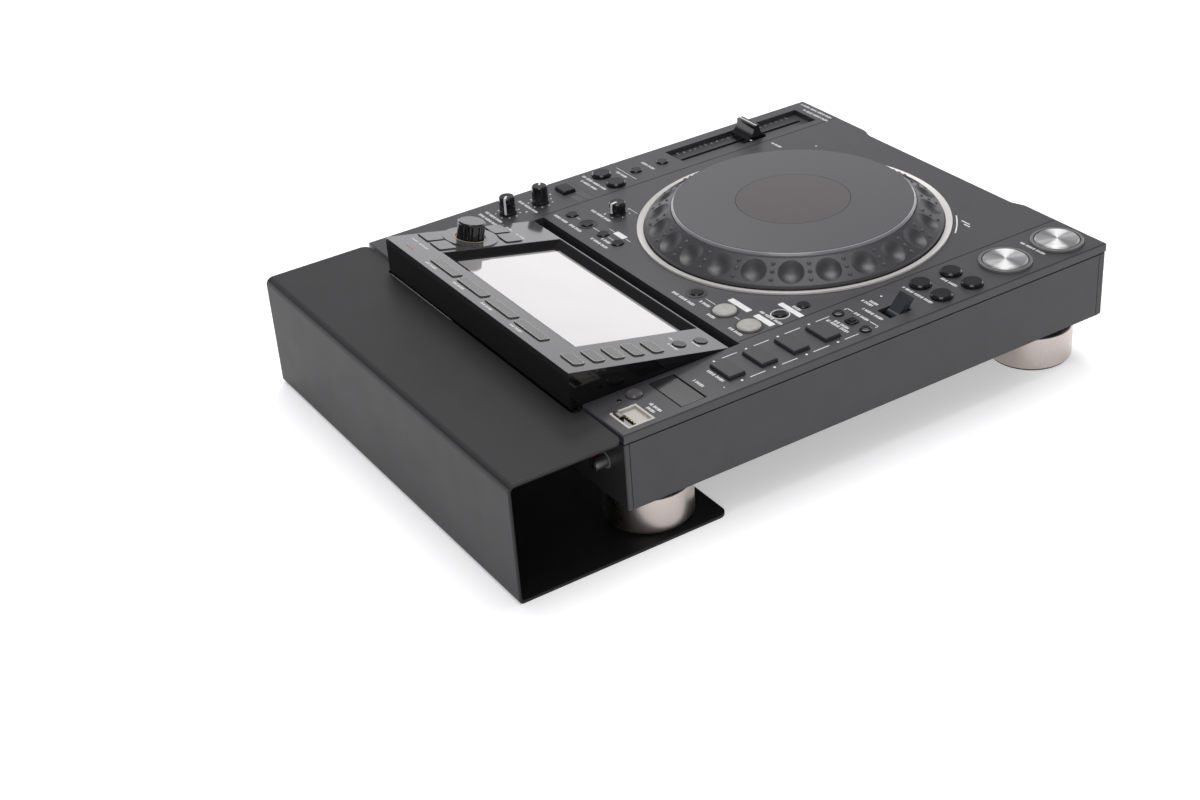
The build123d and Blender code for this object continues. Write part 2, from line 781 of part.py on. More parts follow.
def jog_trim_ring():
    inner = jog_radius + trim_gap
    outer = inner + trim_width
    return jog_profile([(inner, 0), (outer, 0), (outer, trim_height - 0.3), (outer - 0.3, trim_height),
                        (inner, trim_inner_height)])


def panel_key(plan, flange, x, y, proud, edge):
    """Key of the flat panel, with the flange that keeps it from coming out."""
    low = board_top + switch_height + switch_gap
    key = Pos(x, y, low) * extrude(plan, panel_top + proud - low)
    key = chamfer(key.edges().group_by(Axis.Z)[-1], edge)
    return key + Pos(x, y, panel_under - key_clearance - flange_thick) * extrude(flange, flange_thick)


def round_panel_key(x, y, radius, proud):
    return panel_key(Circle(radius), Circle(radius + flange_reach), x, y, proud, min(0.9, proud / 2))


def flat_panel_key(x, y, width, length, proud):
    flange = Rectangle(width + 2 * flange_reach, length + 2 * flange_reach)
    return panel_key(RectangleRounded(width, length, 0.8), flange, x, y, proud, 0.5)


def button_rings():
    """Light rings round the two large buttons."""
    rings = []
    for x, y in disc_key_places.values():
        ring = tube(x, y, panel_under, panel_top + disc_ring_height, disc_ring_radius,
                    disc_key_radius + key_clearance)
        rings.append(chamfer(ring.edges().group_by(Axis.Z)[-1], 0.3))
    return grouped(rings)


def round_key_group(places, radius, proud):
    """Keys of one moulding."""
    return grouped([round_panel_key(x, y, radius, proud) for x, y in places])


def fluted(knob, x, y, radius, flutes, flute_radius, z0, z1):
    cuts = [Pos(x, y, 0) * Rot(0, 0, step * 360 / flutes) * Pos(radius, 0, (z0 + z1) / 2)
            * Cylinder(flute_radius, z1 - z0) for step in range(flutes)]
    return knob - cuts


def panel_knob(name, base, tip, height, skirt, flutes, flute_radius):
    """Fluted knob on a shaft through the panel."""
    x, y = knob_places[name]
    low = panel_top + small_gap
    line = Polyline((0, 0, low), (base, 0, low), (base, 0, low + skirt - 0.4), (base - 0.5, 0, low + skirt),
                    (tip, 0, panel_top + height - 0.7), (tip - 0.7, 0, panel_top + height),
                    (0, 0, panel_top + height), close=True)
    knob = Pos(x, y, 0) * revolve(make_face(line), Axis.Z)
    knob = fluted(knob, x, y, base, flutes, flute_radius, low + skirt, panel_top + height - 1.4)
    return knob + rod(x, y, board_top + small_gap, low, knob_shaft)


def tall_knob(name):
    return panel_knob(name, knob_radius, knob_top_radius, knob_height, knob_skirt, knob_flutes,
                      knob_flute_radius)


def jog_adjust_knob():
    return panel_knob("jog_adjust_knob", jog_adjust_radius, jog_adjust_tip, jog_adjust_height,
                      jog_adjust_skirt, jog_adjust_flutes, jog_adjust_flute_radius)


def direction_lever():
    """Leaning paddle on a pivot pin; at rest it leans to the front."""
    half = lever_width / 2
    line = Polyline((0, -lever_thickness / 2, 0), (0, lever_thickness / 2, 0),
                    (0, lever_tip / 2, lever_length), (0, -lever_tip / 2, lever_length), close=True)
    paddle = Pos(-half, 0, 0) * extrude(make_face(line), lever_width, dir=(1, 0, 0))
    paddle = chamfer(paddle.edges().group_by(Axis.Z)[-1], 0.5)
    hub = Rot(0, 90, 0) * Cylinder(lever_hub_radius, lever_width)
    pin = Rot(0, 90, 0) * Cylinder(lever_pin_radius, lever_slot_width + 0.8 + 2 * cheek_thick)
    return Pos(lever_x, lever_y, lever_z) * Rot(lever_lean, 0, 0) * (paddle + hub + pin)


def sd_door():
    half = door_width / 2 - small_gap
    door = block(left_axis_x - half, left_axis_x + half, door_y - door_length / 2 + 1.4,
                 door_y + door_length / 2 - small_gap, panel_top - door_thick, panel_top)
    door = fillet(door.edges().filter_by(Axis.X).group_by(Axis.Y)[-1], door_thick * 0.45)
    pin = (Pos(left_axis_x, door_hinge_y, door_hinge_z) * Rot(0, 90, 0)
           * Cylinder(door_pin_radius, 2 * (door_width / 2 + door_pin_length)))
    return door + pin


def usb_port():
    low = board_top
    port = block(usb_x - usb_width / 2, usb_x + usb_width / 2, usb_y - usb_length / 2, usb_y + usb_length / 2,
                 low, panel_top)
    recess = block(usb_x - usb_width / 2 + usb_rim, usb_x + usb_width / 2 - usb_rim,
                   usb_y - usb_length / 2 + usb_rim, usb_y + usb_length / 2 - usb_rim,
                   panel_top - usb_recess, panel_top + 1)
    mouth_y = usb_y + usb_length / 2 - usb_rim - 1.5 - usb_mouth_length / 2
    mouth = block(usb_x - usb_mouth_width / 2, usb_x + usb_mouth_width / 2,
                  mouth_y - usb_mouth_length / 2, mouth_y + usb_mouth_length / 2,
                  panel_top - usb_recess - usb_mouth_depth, panel_top)
    return port - recess - mouth


def slider_cap():
    """Fader cap with scooped sides and a middle ridge, on its stem."""
    y = slider_y + slider_rest
    low = panel_top - slider_recess_depth + slider_cap_float
    top = low + slider_cap_height
    half = slider_cap_length / 2
    ridge = slider_ridge / 2
    base = 3.0
    scoop = [(ridge, top), (ridge + 0.9, (low + base + top) / 2 - 0.4), (half, low + base)]
    front = ThreePointArc((0, y - scoop[0][0], scoop[0][1]), (0, y - scoop[1][0], scoop[1][1]),
                          (0, y - scoop[2][0], scoop[2][1]))
    rear = ThreePointArc((0, y + scoop[2][0], scoop[2][1]), (0, y + scoop[1][0], scoop[1][1]),
                         (0, y + scoop[0][0], scoop[0][1]))
    outline = (Line((0, y + ridge, top), (0, y - ridge, top)) + front
               + Line((0, y - half, low + base), (0, y - half, low))
               + Line((0, y - half, low), (0, y + half, low))
               + Line((0, y + half, low), (0, y + half, low + base)) + rear)
    cap = Pos(right_axis_x - slider_cap_width / 2, 0, 0) * extrude(make_face(outline), slider_cap_width,
                                                                   dir=(1, 0, 0))
    stem = block(right_axis_x - slider_stem / 2, right_axis_x + slider_stem / 2,
                 y - slider_stem_length / 2, y + slider_stem_length / 2,
                 panel_top - slider_recess_depth - slider_recess_wall - 4, low)
    return cap + stem


def fader_unit():
    """Long case of the slide control under the recess, with the channel that the stem runs in."""
    top = panel_top - slider_recess_depth - slider_recess_wall
    half_x = slider_body_width / 2
    half_y = slider_recess_length / 2
    body = block(right_axis_x - half_x, right_axis_x + half_x, slider_y - half_y, slider_y + half_y,
                 top - slider_body_height, top)
    run = (slider_travel + slider_stem_length) / 2 + 1
    channel = block(right_axis_x - slider_slot / 2, right_axis_x + slider_slot / 2,
                    slider_y - run, slider_y + run, top - 6, top + 1)
    return body - channel


def slope_keys(places, length, width, radius):
    """Flat keys set in the tilted face."""
    keys = []
    for u, v in places:
        low = bezel_thick + key_clearance + flange_thick
        key = on_face(u, v, -low) * extrude(RectangleRounded(length, width, radius), low + slope_key_proud)
        flange = Rectangle(length + 2 * flange_reach, width + 2 * flange_reach)
        keys.append(key + on_face(u, v, -low) * extrude(flange, flange_thick))
    return grouped(keys)


def corner_key_plan(u, v, grow):
    """Key beside the selector: a rounded rectangle cut by the selector's ring."""
    plan = Pos(u, v) * RectangleRounded(corner_key_length + 2 * grow, corner_key_width + 2 * grow, 1.5)
    return plan - Pos(selector_u, selector_v) * Circle(selector_ring_radius + corner_key_gap - grow)


def selector_keys():
    keys = []
    for u, v in corner_key_places:
        foot = on_face(0, 0, slope_key_proud - slope_key_depth)
        keys.append(foot * extrude(corner_key_plan(u, v, 0), slope_key_depth))
    return grouped(keys)


def side_keys():
    keys = [on_face(u, v, 0.7 - slope_key_depth / 2) * Cylinder(side_key_radius, slope_key_depth)
            for u, v in side_key_uv]
    return grouped(keys)


def selector_knob():
    low = selector_ring_height - 0.5
    top = low + selector_height
    knob = Pos(0, 0, (low + top) / 2) * Cylinder(selector_radius, top - low)
    knob = chamfer(knob.edges().group_by(Axis.Z)[-1], 0.8)
    knob = fluted(knob, 0, 0, selector_radius, selector_flutes, selector_flute_radius, low + 0.8, top - 1.6)
    shaft_low = -selector_shaft_depth
    knob += Pos(0, 0, (shaft_low + low) / 2) * Cylinder(selector_shaft, low - shaft_low)
    return on_face(selector_u, selector_v, 0) * knob


def face_openings(grow, depth):
    """Key and shaft openings of the tilted face, as cutters."""
    cutters = []
    for u in browse_key_u:
        plan = RectangleRounded(browse_key_length + 2 * grow, browse_key_width + 2 * grow, 2.0)
        cutters.append(on_face(u, browse_key_v, -depth) * extrude(plan, depth + 1))
    for v in source_key_v:
        plan = RectangleRounded(source_key_length + 2 * grow, source_key_width + 2 * grow, 2.4)
        cutters.append(on_face(source_key_u, v, -depth) * extrude(plan, depth + 1))
    for u, v in side_key_uv:
        cutters.append(on_face(u, v, -depth / 2 + 0.5) * Cylinder(side_key_radius + grow, depth + 1))
    for u, v in corner_key_places:
        cutters.append(on_face(0, 0, -depth) * extrude(corner_key_plan(u, v, grow), depth + 1))
    return cutters


def screen_bezel():
    """Face plate with the sunken window, its sill and right-hand bevel, and the selector's ring."""
    plate = on_face((screen_right - screen_left) / 2, screen_length / 2, -bezel_thick / 2) * Box(
        screen_left + screen_right, screen_length, bezel_thick)
    front_trim = block(-screen_left - 1, screen_right + 1, screen_front - 10, screen_front,
                       panel_top - 20, panel_top + 5)
    rear_trim = block(-screen_left - 1, screen_right + 1, rear_edge + screen_overhang,
                      rear_edge + screen_overhang + 10, panel_top, panel_top + 40)
    ring = tube(0, 0, 0, selector_ring_height, selector_ring_radius, selector_ring_inner)
    plate = plate - front_trim - rear_trim + on_face(selector_u, selector_v, 0) * ring
    upper = make_face(Polyline((window_left, window_low), (window_right, window_low),
                               (window_right, window_high), (window_left, window_high), close=True))
    sill = window_low + window_sill
    inner = window_right - window_bevel
    lower = make_face(Polyline((window_left, sill), (inner, sill), (inner, window_high),
                               (window_left, window_high), close=True))
    window = loft([on_face(0, 0, 0) * upper, on_face(0, 0, -bezel_thick) * lower])
    skim = on_face(0, 0, 0) * extrude(upper, 2)
    cuts = [window, skim] + face_openings(key_clearance, bezel_thick + 1)
    cuts.append(on_face(selector_u, selector_v, -bezel_thick / 2)
                * Cylinder(selector_shaft + pivot_clearance, bezel_thick + 2))
    for cut in cuts:
        plate -= cut
    return plate


def touch_screen():
    u0 = window_left - glass_margin
    u1 = window_right - window_bevel + glass_margin
    v0 = window_low + window_sill - glass_margin
    v1 = window_high + glass_margin
    middle = on_face((u0 + u1) / 2, (v0 + v1) / 2, -bezel_thick - glass_thick / 2)
    return middle * Box(u1 - u0, v1 - v0, glass_thick)


def screen_housing():
    """Wedge under the face plate, open where the screen and the keys sit."""
    rear = rear_edge + screen_overhang
    rise = screen_rise
    drop = bezel_thick / cos(tilt)
    line = Polyline((0, screen_front, screen_floor), (0, rear, screen_floor),
                    (0, rear, panel_top + rise - drop), (0, screen_front, panel_top - drop), close=True)
    width = screen_left + screen_right
    wedge = Pos(-screen_left, 0, 0) * extrude(make_face(line), width, dir=(1, 0, 0))
    wall = housing_wall
    inner = Polyline((0, screen_front + 22, screen_floor + wall), (0, rear - wall, screen_floor + wall),
                     (0, rear - wall, panel_top + rise - drop + 20), (0, screen_front + 22, panel_top + 20),
                     close=True)
    hollow = Pos(-screen_left + wall, 0, 0) * extrude(make_face(inner), width - 2 * wall, dir=(1, 0, 0))
    pocket = on_face((window_left + window_right - window_bevel) / 2,
                     (window_low + window_sill + window_high) / 2, -bezel_thick - glass_thick / 2) * Box(
        window_right - window_left - window_bevel + 2 * glass_margin + 2 * small_gap,
        window_high - window_low - window_sill + 2 * glass_margin + 2 * small_gap, glass_thick + 0.02)
    cuts = [hollow, pocket]
    for u, v in side_key_uv:
        cuts.append(on_face(u, v, -bezel_thick) * Cylinder(side_key_radius + 2, 8))
    for u, v in corner_key_places:
        cuts.append(on_face(u, v, -bezel_thick) * Box(corner_key_length + 2 * key_clearance + small_gap,
                                                      corner_key_width + 2 * key_clearance, 3.0))
    for cut in cuts:
        wedge -= cut
    return wedge


def key_board():
    """Board under the panel with a small switch below each key."""
    low = board_top - board_thick
    left = block(left_edge + cover_wall + 2, centre_left, front_edge + 8, rear_edge - 6, low, board_top)
    right = block(right_axis_x - 15, right_axis_x + 15, slider_y + slider_recess_length / 2 + 6,
                  rear_edge - right_board_from_rear, low, board_top)
    middle = block(centre_left - 1, right_axis_x - 14, groove_front - 66, groove_front - 4, low, board_top)
    board = left + right + middle
    key_places = [(x, y) for x, y, radius, proud in round_keys.values()]
    key_places += memory_key_places + bank_key_places + hot_cue_places
    key_places += list(disc_key_places.values()) + [(mode_key_x, mode_key_y)]
    half = switch_size / 2
    for x, y in key_places:
        board += block(x - half, x + half, y - half, y + half, board_top, board_top + switch_height)
    socket = block(left_axis_x - door_width / 2 + 2, left_axis_x + door_width / 2 - 2,
                   door_y - door_length / 2 + 1, door_y + door_length / 2 - 1,
                   board_top, panel_top - well_depth)
    return board + socket


def board_posts():
    """Places of the posts that carry the key board."""
    near_left = left_edge + cover_wall + 6
    return [(left_axis_x, front_edge + (play_from_front + cue_from_front) / 2), (near_left, lever_y + 12),
            (near_left, rear_edge - 34), (centre_left + 50, groove_front - 8),
            (centre_right - 42, groove_front - 8), (centre_left - 6, front_edge + 42)]


def main_board_posts():
    left = left_edge + main_board_inset
    rear = rear_edge - main_board_rear_inset
    near = main_board_post_inset
    return [(x, y) for x in (left + near, left + main_board_width - near)
            for y in (rear - near, rear - main_board_length + near)]


def main_board():
    """Board with its larger parts, placed and sized as shares of the board."""
    left = left_edge + main_board_inset
    rear = rear_edge - main_board_rear_inset
    board = block(left, left + main_board_width, rear - main_board_length, rear,
                  main_board_level, main_board_level + board_thick)
    top = main_board_level + board_thick
    for across, along, wide, deep, tall in board_parts:
        x = left + across * main_board_width
        y = rear - along * main_board_length
        half_x = wide * main_board_width / 2
        half_y = deep * main_board_length / 2
        board += block(x - half_x, x + half_x, y - half_y, y + half_y, top, top + tall * main_board_height)
    return board


def drive_legs():
    half = drive_width / 2 - 8
    front = front_edge + bay_depth + cover_wall
    return [(side * half, y) for side in (-1, 1) for y in (front + 12, front + drive_length - 12)]


def disc_drive():
    """Slot-loading drive: a tray, a lid, side rails and a rear block round the space that takes the disc."""
    front = front_edge + bay_depth + cover_wall
    rear = front + drive_length
    slot_low = disc_slot_level - disc_slot_height / 2
    slot_high = disc_slot_level + disc_slot_height / 2
    half = drive_width / 2
    slot_half = disc_slot_width / 2
    slot_rear = front + disc_slot_depth
    pieces = [
        block(-half, half, front, rear, drive_low, slot_low),
        block(-half, half, front, rear, slot_high, drive_high),
        block(-half, -slot_half, front, rear, slot_low, slot_high),
        block(slot_half, half, front, rear, slot_low, slot_high),
        block(-slot_half, slot_half, slot_rear, rear, slot_low, slot_high),
    ]
    for x, y in drive_legs():
        leg = rod(x, y, cover_bottom, drive_low, leg_radius)
        hole = rod(x, y, cover_bottom - 1, cover_bottom + screw_length, screw_radius + screw_clearance)
        pieces.append(leg - hole)
    return grouped(pieces)


def psu_legs():
    x0 = right_edge - psu_right_inset - psu_width
    y1 = rear_edge - psu_rear_inset
    return [(x, y) for x in (x0 + 8, x0 + psu_width - 8) for y in (y1 - 8, y1 - psu_length + 8)]


def power_supply():
    x0 = right_edge - psu_right_inset - psu_width
    y1 = rear_edge - psu_rear_inset
    body = block(x0, x0 + psu_width, y1 - psu_length, y1, psu_low, psu_high)
    body = chamfer(body.edges().filter_by(Axis.Z), 2.0)
    for x, y in psu_legs():
        body += rod(x, y, cover_bottom, psu_low, leg_radius)
    bores = [rod(x, y, cover_bottom - 1, cover_bottom + screw_length, screw_radius + screw_clearance)
             for x, y in psu_legs()]
    return body - bores


def screw_places():
    return drive_legs() + psu_legs()


def screws():
    made = []
    for x, y in screw_places():
        head = rod(x, y, base_bottom - screw_head_height, base_bottom, screw_head_radius)
        made.append(head + rod(x, y, base_bottom, cover_bottom + screw_length - 1, screw_radius))
    return grouped(made)


def rear_jacks():
    """Mains inlet, phono sockets, network and square data sockets behind the rear panel."""
    inner = rear_edge - cover_wall
    pieces = []
    flange = block(inlet_x - inlet_width / 2 - inlet_flange, inlet_x + inlet_width / 2 + inlet_flange,
                   rear_edge, rear_edge + 1.6, jack_level - inlet_height / 2 - inlet_flange,
                   jack_level + inlet_height / 2 + inlet_flange)
    body = block(inlet_x - inlet_width / 2, inlet_x + inlet_width / 2, rear_edge - inlet_depth, rear_edge,
                 jack_level - inlet_height / 2, jack_level + inlet_height / 2)
    mouth = block(inlet_x - inlet_mouth_width / 2, inlet_x + inlet_mouth_width / 2,
                  rear_edge + 1.6 - inlet_mouth_depth, rear_edge + 3,
                  jack_level - inlet_mouth_height / 2, jack_level + inlet_mouth_height / 2)
    inlet = flange + body - mouth
    for dx, dz in ((-7, -2), (0, 2), (7, -2)):
        inlet += block(inlet_x + dx - 1, inlet_x + dx + 1, rear_edge + 1.6 - inlet_mouth_depth - 1,
                       rear_edge - 4, jack_level + dz - 2, jack_level + dz + 2)
    pieces.append(inlet)
    for x in phono_x:
        case = block(x - phono_block / 2, x + phono_block / 2, inner - phono_block, inner,
                     jack_level - phono_block / 2, jack_level + phono_block / 2)
        barrel = Pos(x, (inner + rear_edge + phono_reach) / 2, jack_level) * Rot(90, 0, 0) * Cylinder(
            phono_radius, rear_edge + phono_reach - inner)
        hole = Pos(x, rear_edge + phono_reach, jack_level) * Rot(90, 0, 0) * Cylinder(phono_bore, 16)
        pieces.append(case + barrel - hole)
    for x, half_w, half_h, mouth_w, mouth_h in ((usb_b_x, 6, 5.5, 4.3, 3.9), (lan_x, 8, 6.5, 5.9, 4.2)):
        shell = block(x - half_w, x + half_w, rear_edge - 16, rear_edge + 0.5,
                      jack_level - half_h, jack_level + half_h)
        hole = block(x - mouth_w, x + mouth_w, rear_edge - 11, rear_edge + 2,
                     jack_level - mouth_h, jack_level + mouth_h)
        pieces.append(shell - hole)
    return grouped(pieces)


def power_switch():
    """Rocker on a pin, leaning to its off side at rest."""
    half = rocker_width / 2
    reach = rear_edge + 1.0 - rocker_pivot_y
    line = Polyline((0, -rocker_depth / 2, -3), (0, -rocker_depth / 2, 3),
                    (0, reach - 1.5, rocker_height / 2),
                    (0, reach, rocker_height / 2), (0, reach - 1.0, 0), (0, reach, -rocker_height / 2),
                    (0, reach - 1.5, -rocker_height / 2), close=True)
    rocker = Pos(-half, 0, 0) * extrude(make_face(line), rocker_width, dir=(1, 0, 0))
    pin = Rot(0, 90, 0) * Cylinder(rocker_pin_radius, rocker_width + 2 * small_gap + 2 * cheek_thick - 0.6)
    return Pos(switch_x, rocker_pivot_y, jack_level) * Rot(-rocker_lean, 0, 0) * (rocker + pin)


def eject_button():
    bay = front_edge + bay_depth
    button = block(eject_u - eject_width / 2, eject_u + eject_width / 2, bay - eject_proud, bay + eject_depth,
                   eject_level - eject_height / 2, eject_level + eject_height / 2)
    return chamfer(button.edges().group_by(Axis.Y)[0], 0.4)


def build_all():
    nodes = {
        "top_panel": top_panel(),
        "front_panel": front_panel(),
        "rear_panel": rear_panel(),
        "side_covers": side_covers(),
        "bottom_chassis": bottom_chassis(),
        "foot_sleeves": foot_sleeves(),
        "foot_pads": foot_pads(),
        "rear_guard": rear_guard(),
        "jog_rim": jog_rim(),
        "jog_plate": jog_plate(),
        "jog_post": jog_post(),
        "jog_trim_ring": jog_trim_ring(),
        "memory_keys": round_key_group(memory_key_places, small_key_radius, small_key_proud),
        "bank_keys": round_key_group(bank_key_places, bank_key_radius, bank_key_proud),
        "jog_mode_key": flat_panel_key(mode_key_x, mode_key_y, mode_key_width, mode_key_length,
                                       mode_key_proud),
        "direction_lever": direction_lever(),
        "sd_door": sd_door(),
        "usb_port": usb_port(),
        "tempo_slider": slider_cap(),
        "fader_unit": fader_unit(),
        "browse_keys": slope_keys([(u, browse_key_v) for u in browse_key_u],
                                  browse_key_length, browse_key_width, 1.7),
        "source_keys": slope_keys([(source_key_u, v) for v in source_key_v],
                                  source_key_length, source_key_width, 2.1),
        "selector_keys": selector_keys(),
        "side_keys": side_keys(),
        "button_rings": button_rings(),
        "selector_knob": selector_knob(),
        "screen_bezel": screen_bezel(),
        "touch_screen": touch_screen(),
        "screen_housing": screen_housing(),
        "key_board": key_board(),
        "main_board": main_board(),
        "disc_drive": disc_drive(),
        "power_supply": power_supply(),
        "screws": screws(),
        "rear_jacks": rear_jacks(),
        "power_switch": power_switch(),
        "eject_button": eject_button(),
    }
    for name in round_keys:
        nodes[name] = round_panel_key(*round_keys[name])
    for name, (x, y) in disc_key_places.items():
        nodes[name] = round_panel_key(x, y, disc_key_radius, disc_key_proud)
    nodes["release_knob"] = tall_knob("release_knob")
    nodes["touch_brake_knob"] = tall_knob("touch_brake_knob")
    nodes["jog_adjust_knob"] = jog_adjust_knob()
    for index in range(hot_cue_count):
        x, y = hot_cue_places[index]
        pad = flat_panel_key(x, y, hot_cue_width, hot_cue_length, hot_cue_proud)
        nodes["hot_cue_pad_" + "abcd"[index]] = pad
    return nodes


# The origin is on the table, in the middle of the whole object in plan
centring = Pos(0, -guard_reach / 2, 0)
os.makedirs("parts", exist_ok=True)
for node_name, shape in build_all().items():
    solids = [centring * solid for solid in shape.solids()]
    whole = solids[0] if len(solids) == 1 else Compound(solids)
    export_step(whole, os.path.join("parts", node_name + ".step"))
print("case", case_width, "x", case_depth, "jog centre", jog_x, jog_y - guard_reach / 2)
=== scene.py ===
"""Finishes, printed marks, small trims, floor, light and camera round the player's CAD model."""
from math import atan2, cos, pi, radians, sin

import bmesh
import bpy
from mathutils import Matrix, Vector


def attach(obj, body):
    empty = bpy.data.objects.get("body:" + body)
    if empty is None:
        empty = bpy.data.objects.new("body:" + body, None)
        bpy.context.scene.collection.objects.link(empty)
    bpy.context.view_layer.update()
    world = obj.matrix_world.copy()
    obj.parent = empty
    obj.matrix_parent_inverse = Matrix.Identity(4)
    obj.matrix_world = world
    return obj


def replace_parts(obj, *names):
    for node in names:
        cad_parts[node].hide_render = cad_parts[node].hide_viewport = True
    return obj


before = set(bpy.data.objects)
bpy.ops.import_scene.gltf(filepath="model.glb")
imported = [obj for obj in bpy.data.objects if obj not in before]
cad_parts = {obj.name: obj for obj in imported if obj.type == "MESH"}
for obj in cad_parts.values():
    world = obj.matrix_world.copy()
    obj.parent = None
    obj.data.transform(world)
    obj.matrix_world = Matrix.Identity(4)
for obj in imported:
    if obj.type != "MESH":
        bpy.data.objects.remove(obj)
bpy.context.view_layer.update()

# Sizes repeated from the part, in millimetres, with x = y = 0 in the middle of the case.
# The frame's origin lies further back, in the middle of the case and the guard together.
MM = 0.001
CENTRING = -38.75
LEFT, RIGHT, REAR = -160.0, 160.0, 187.8
TOP = 82.8
STRIP_L = LEFT + 22.5
STRIP_R = RIGHT - 22.7
GUARD_REAR = REAR + 77.5
GUARD_TOP = 80.6

JOG_X, JOG_Y = -2.5, -53.6
PLATE_TOP = 12.3 + 0.5 + 4.2
PLATE_EDGE_INNER, PLATE_EDGE_OUTER = 80.0, 83.4
PLAY_Y, CUE_Y = -165.8, -120.9
TRACK_Y, SEARCH_Y = -58.6, -83.9
BANK_Y, BANK_PITCH = 5.0, 13.2
LOOP_Y = 56.9
RELEASE_Y, BRAKE_Y = 89.8, 63.1
ADJUST_X, ADJUST_Y = 87.1, 30.5
PORT_X = STRIP_L - 7.2
RECESS_FLOOR = -3.5
SLIDER_Y = -119.0
SLIDER_RIDGE = RECESS_FLOOR + 1.0 + 12.5
SOCKET_HEIGHT = 56.0

# The tilted face starts at SCREEN_Y; u, v and w run to the right, up the slope and out of it
SCREEN_Y = 82.5
TILT = radians(11.9)
GLASS_TOP = -4.5
BROWSE_U = [-54.5 + 35.7 * i for i in range(4)]
BROWSE_V = 102.8
SOURCE_U = -99.8
SOURCE_V = [45.8 + 14.1 * i for i in range(5)]
SELECTOR_U, SELECTOR_V = 97.3, 60.0

# Ink stands a little out of the surface and starts a little under it
SUNK, INK, DARK_INK = -0.02, 0.06, 0.03


# Places

def spot(x, y, z):
    """A place in the frame, in metres, from millimetres in the case."""
    return Vector((x * MM, (y + CENTRING) * MM, z * MM))


def flat_place(x=0.0, y=0.0, h=0.0, turn=0.0):
    """Place on the flat panel, h above it."""
    return Matrix.Translation(spot(x, y, TOP + h)) @ Matrix.Rotation(turn, 4, "Z")


def slope_place(u=0.0, v=0.0, w=0.0):
    """Place on the tilted face of the screen unit."""
    y = SCREEN_Y + v * cos(TILT) - w * sin(TILT)
    z = TOP + v * sin(TILT) + w * cos(TILT)
    return Matrix.Translation(spot(u, y, z)) @ Matrix.Rotation(TILT, 4, "X")


def rear_place(x, z):
    """Place on the rear cover, facing the rear."""
    return Matrix.Translation(spot(x, REAR, z)) @ Matrix.Rotation(-pi / 2, 4, "X")


LEVEL = flat_place()
SLOPE = slope_place()


# Solids, in millimetres, made with mesh operators

def plan(x0, x1, y0, y1, low, corner=0.0, steps=4):
    """One flat face, a rectangle whose corners are rounded where asked."""
    solid = bmesh.new()
    bmesh.ops.create_grid(solid, x_segments=1, y_segments=1, size=0.5)
    bmesh.ops.scale(solid, vec=(x1 - x0, y1 - y0, 1), verts=solid.verts)
    bmesh.ops.translate(solid, vec=((x0 + x1) / 2, (y0 + y1) / 2, low), verts=solid.verts)
    if corner:
        bmesh.ops.bevel(solid, geom=solid.verts[:], offset=corner, segments=steps, profile=0.5,
                        affect="VERTICES", material=-1)
    return solid


def raised(solid, height, edge=0.0):
    """Closed solid drawn up from flat faces, its top edge bevelled where asked."""
    grown = bmesh.ops.extrude_face_region(solid, geom=solid.faces[:])
    top = [item for item in grown["geom"] if isinstance(item, bmesh.types.BMVert)]
    bmesh.ops.translate(solid, vec=(0, 0, height), verts=top)
    if edge:
        rim = [item for item in grown["geom"] if isinstance(item, bmesh.types.BMEdge)]
        bmesh.ops.bevel(solid, geom=rim, offset=edge, segments=2, profile=0.5,
                        affect="EDGES", material=-1)
    bmesh.ops.recalc_face_normals(solid, faces=solid.faces)
    return solid


def bar(x0, x1, y0, y1, low, high, corner=0.0, edge=0.0, steps=4):
    """Block with corners rounded in plan."""
    return raised(plan(x0, x1, y0, y1, low, corner, steps), high - low, edge)


def disc(x, y, radius, low, high, edge=0.0, steps=32):
    """Short round solid."""
    solid = bmesh.new()
    bmesh.ops.create_circle(solid, cap_ends=True, radius=radius, segments=steps)
    bmesh.ops.translate(solid, vec=(x, y, low), verts=solid.verts)
    return raised(solid, high - low, edge)


def ring(x, y, inner, outer, low, high, start=0.0, sweep=360.0, steps=48):
    """Flat ring or an arc of one, its outline spun about the centre."""
    solid = bmesh.new()
    bmesh.ops.create_grid(solid, x_segments=1, y_segments=1, size=0.5)
    bmesh.ops.scale(solid, vec=(outer - inner, high - low, 1), verts=solid.verts)
    upright = Matrix.Rotation(pi / 2, 3, "X")
    bmesh.ops.rotate(solid, cent=(0, 0, 0), matrix=upright, verts=solid.verts)
    bmesh.ops.translate(solid, vec=((inner + outer) / 2, 0, (low + high) / 2), verts=solid.verts)
    round_to_start = Matrix.Rotation(radians(start), 3, "Z")
    bmesh.ops.rotate(solid, cent=(0, 0, 0), matrix=round_to_start, verts=solid.verts)
    bmesh.ops.delete(solid, geom=solid.faces[:], context="FACES_ONLY")
    whole = sweep >= 360.0
    bmesh.ops.spin(solid, geom=solid.verts[:] + solid.edges[:], cent=(0, 0, 0), axis=(0, 0, 1),
                   dvec=(0, 0, 0), angle=radians(sweep), steps=steps, use_merge=whole,
                   use_duplicate=False)
    if not whole:
        open_ends = [edge for edge in solid.edges if edge.is_boundary]
        bmesh.ops.holes_fill(solid, edges=open_ends, sides=4)
    bmesh.ops.translate(solid, vec=(x, y, 0), verts=solid.verts)
    bmesh.ops.recalc_face_normals(solid, faces=solid.faces)
    return solid


def edge_band(x0, x1, y0, y1, low, high, corner, wide):
    """Raised band that follows the edge of a key."""
    solid = plan(x0, x1, y0, y1, low, corner, 5)
    middle = solid.faces[:]
    bmesh.ops.inset_region(solid, faces=middle, thickness=wide, use_boundary=True,
                           use_even_offset=True)
    bmesh.ops.delete(solid, geom=middle, context="FACES")
    return raised(solid, high - low)


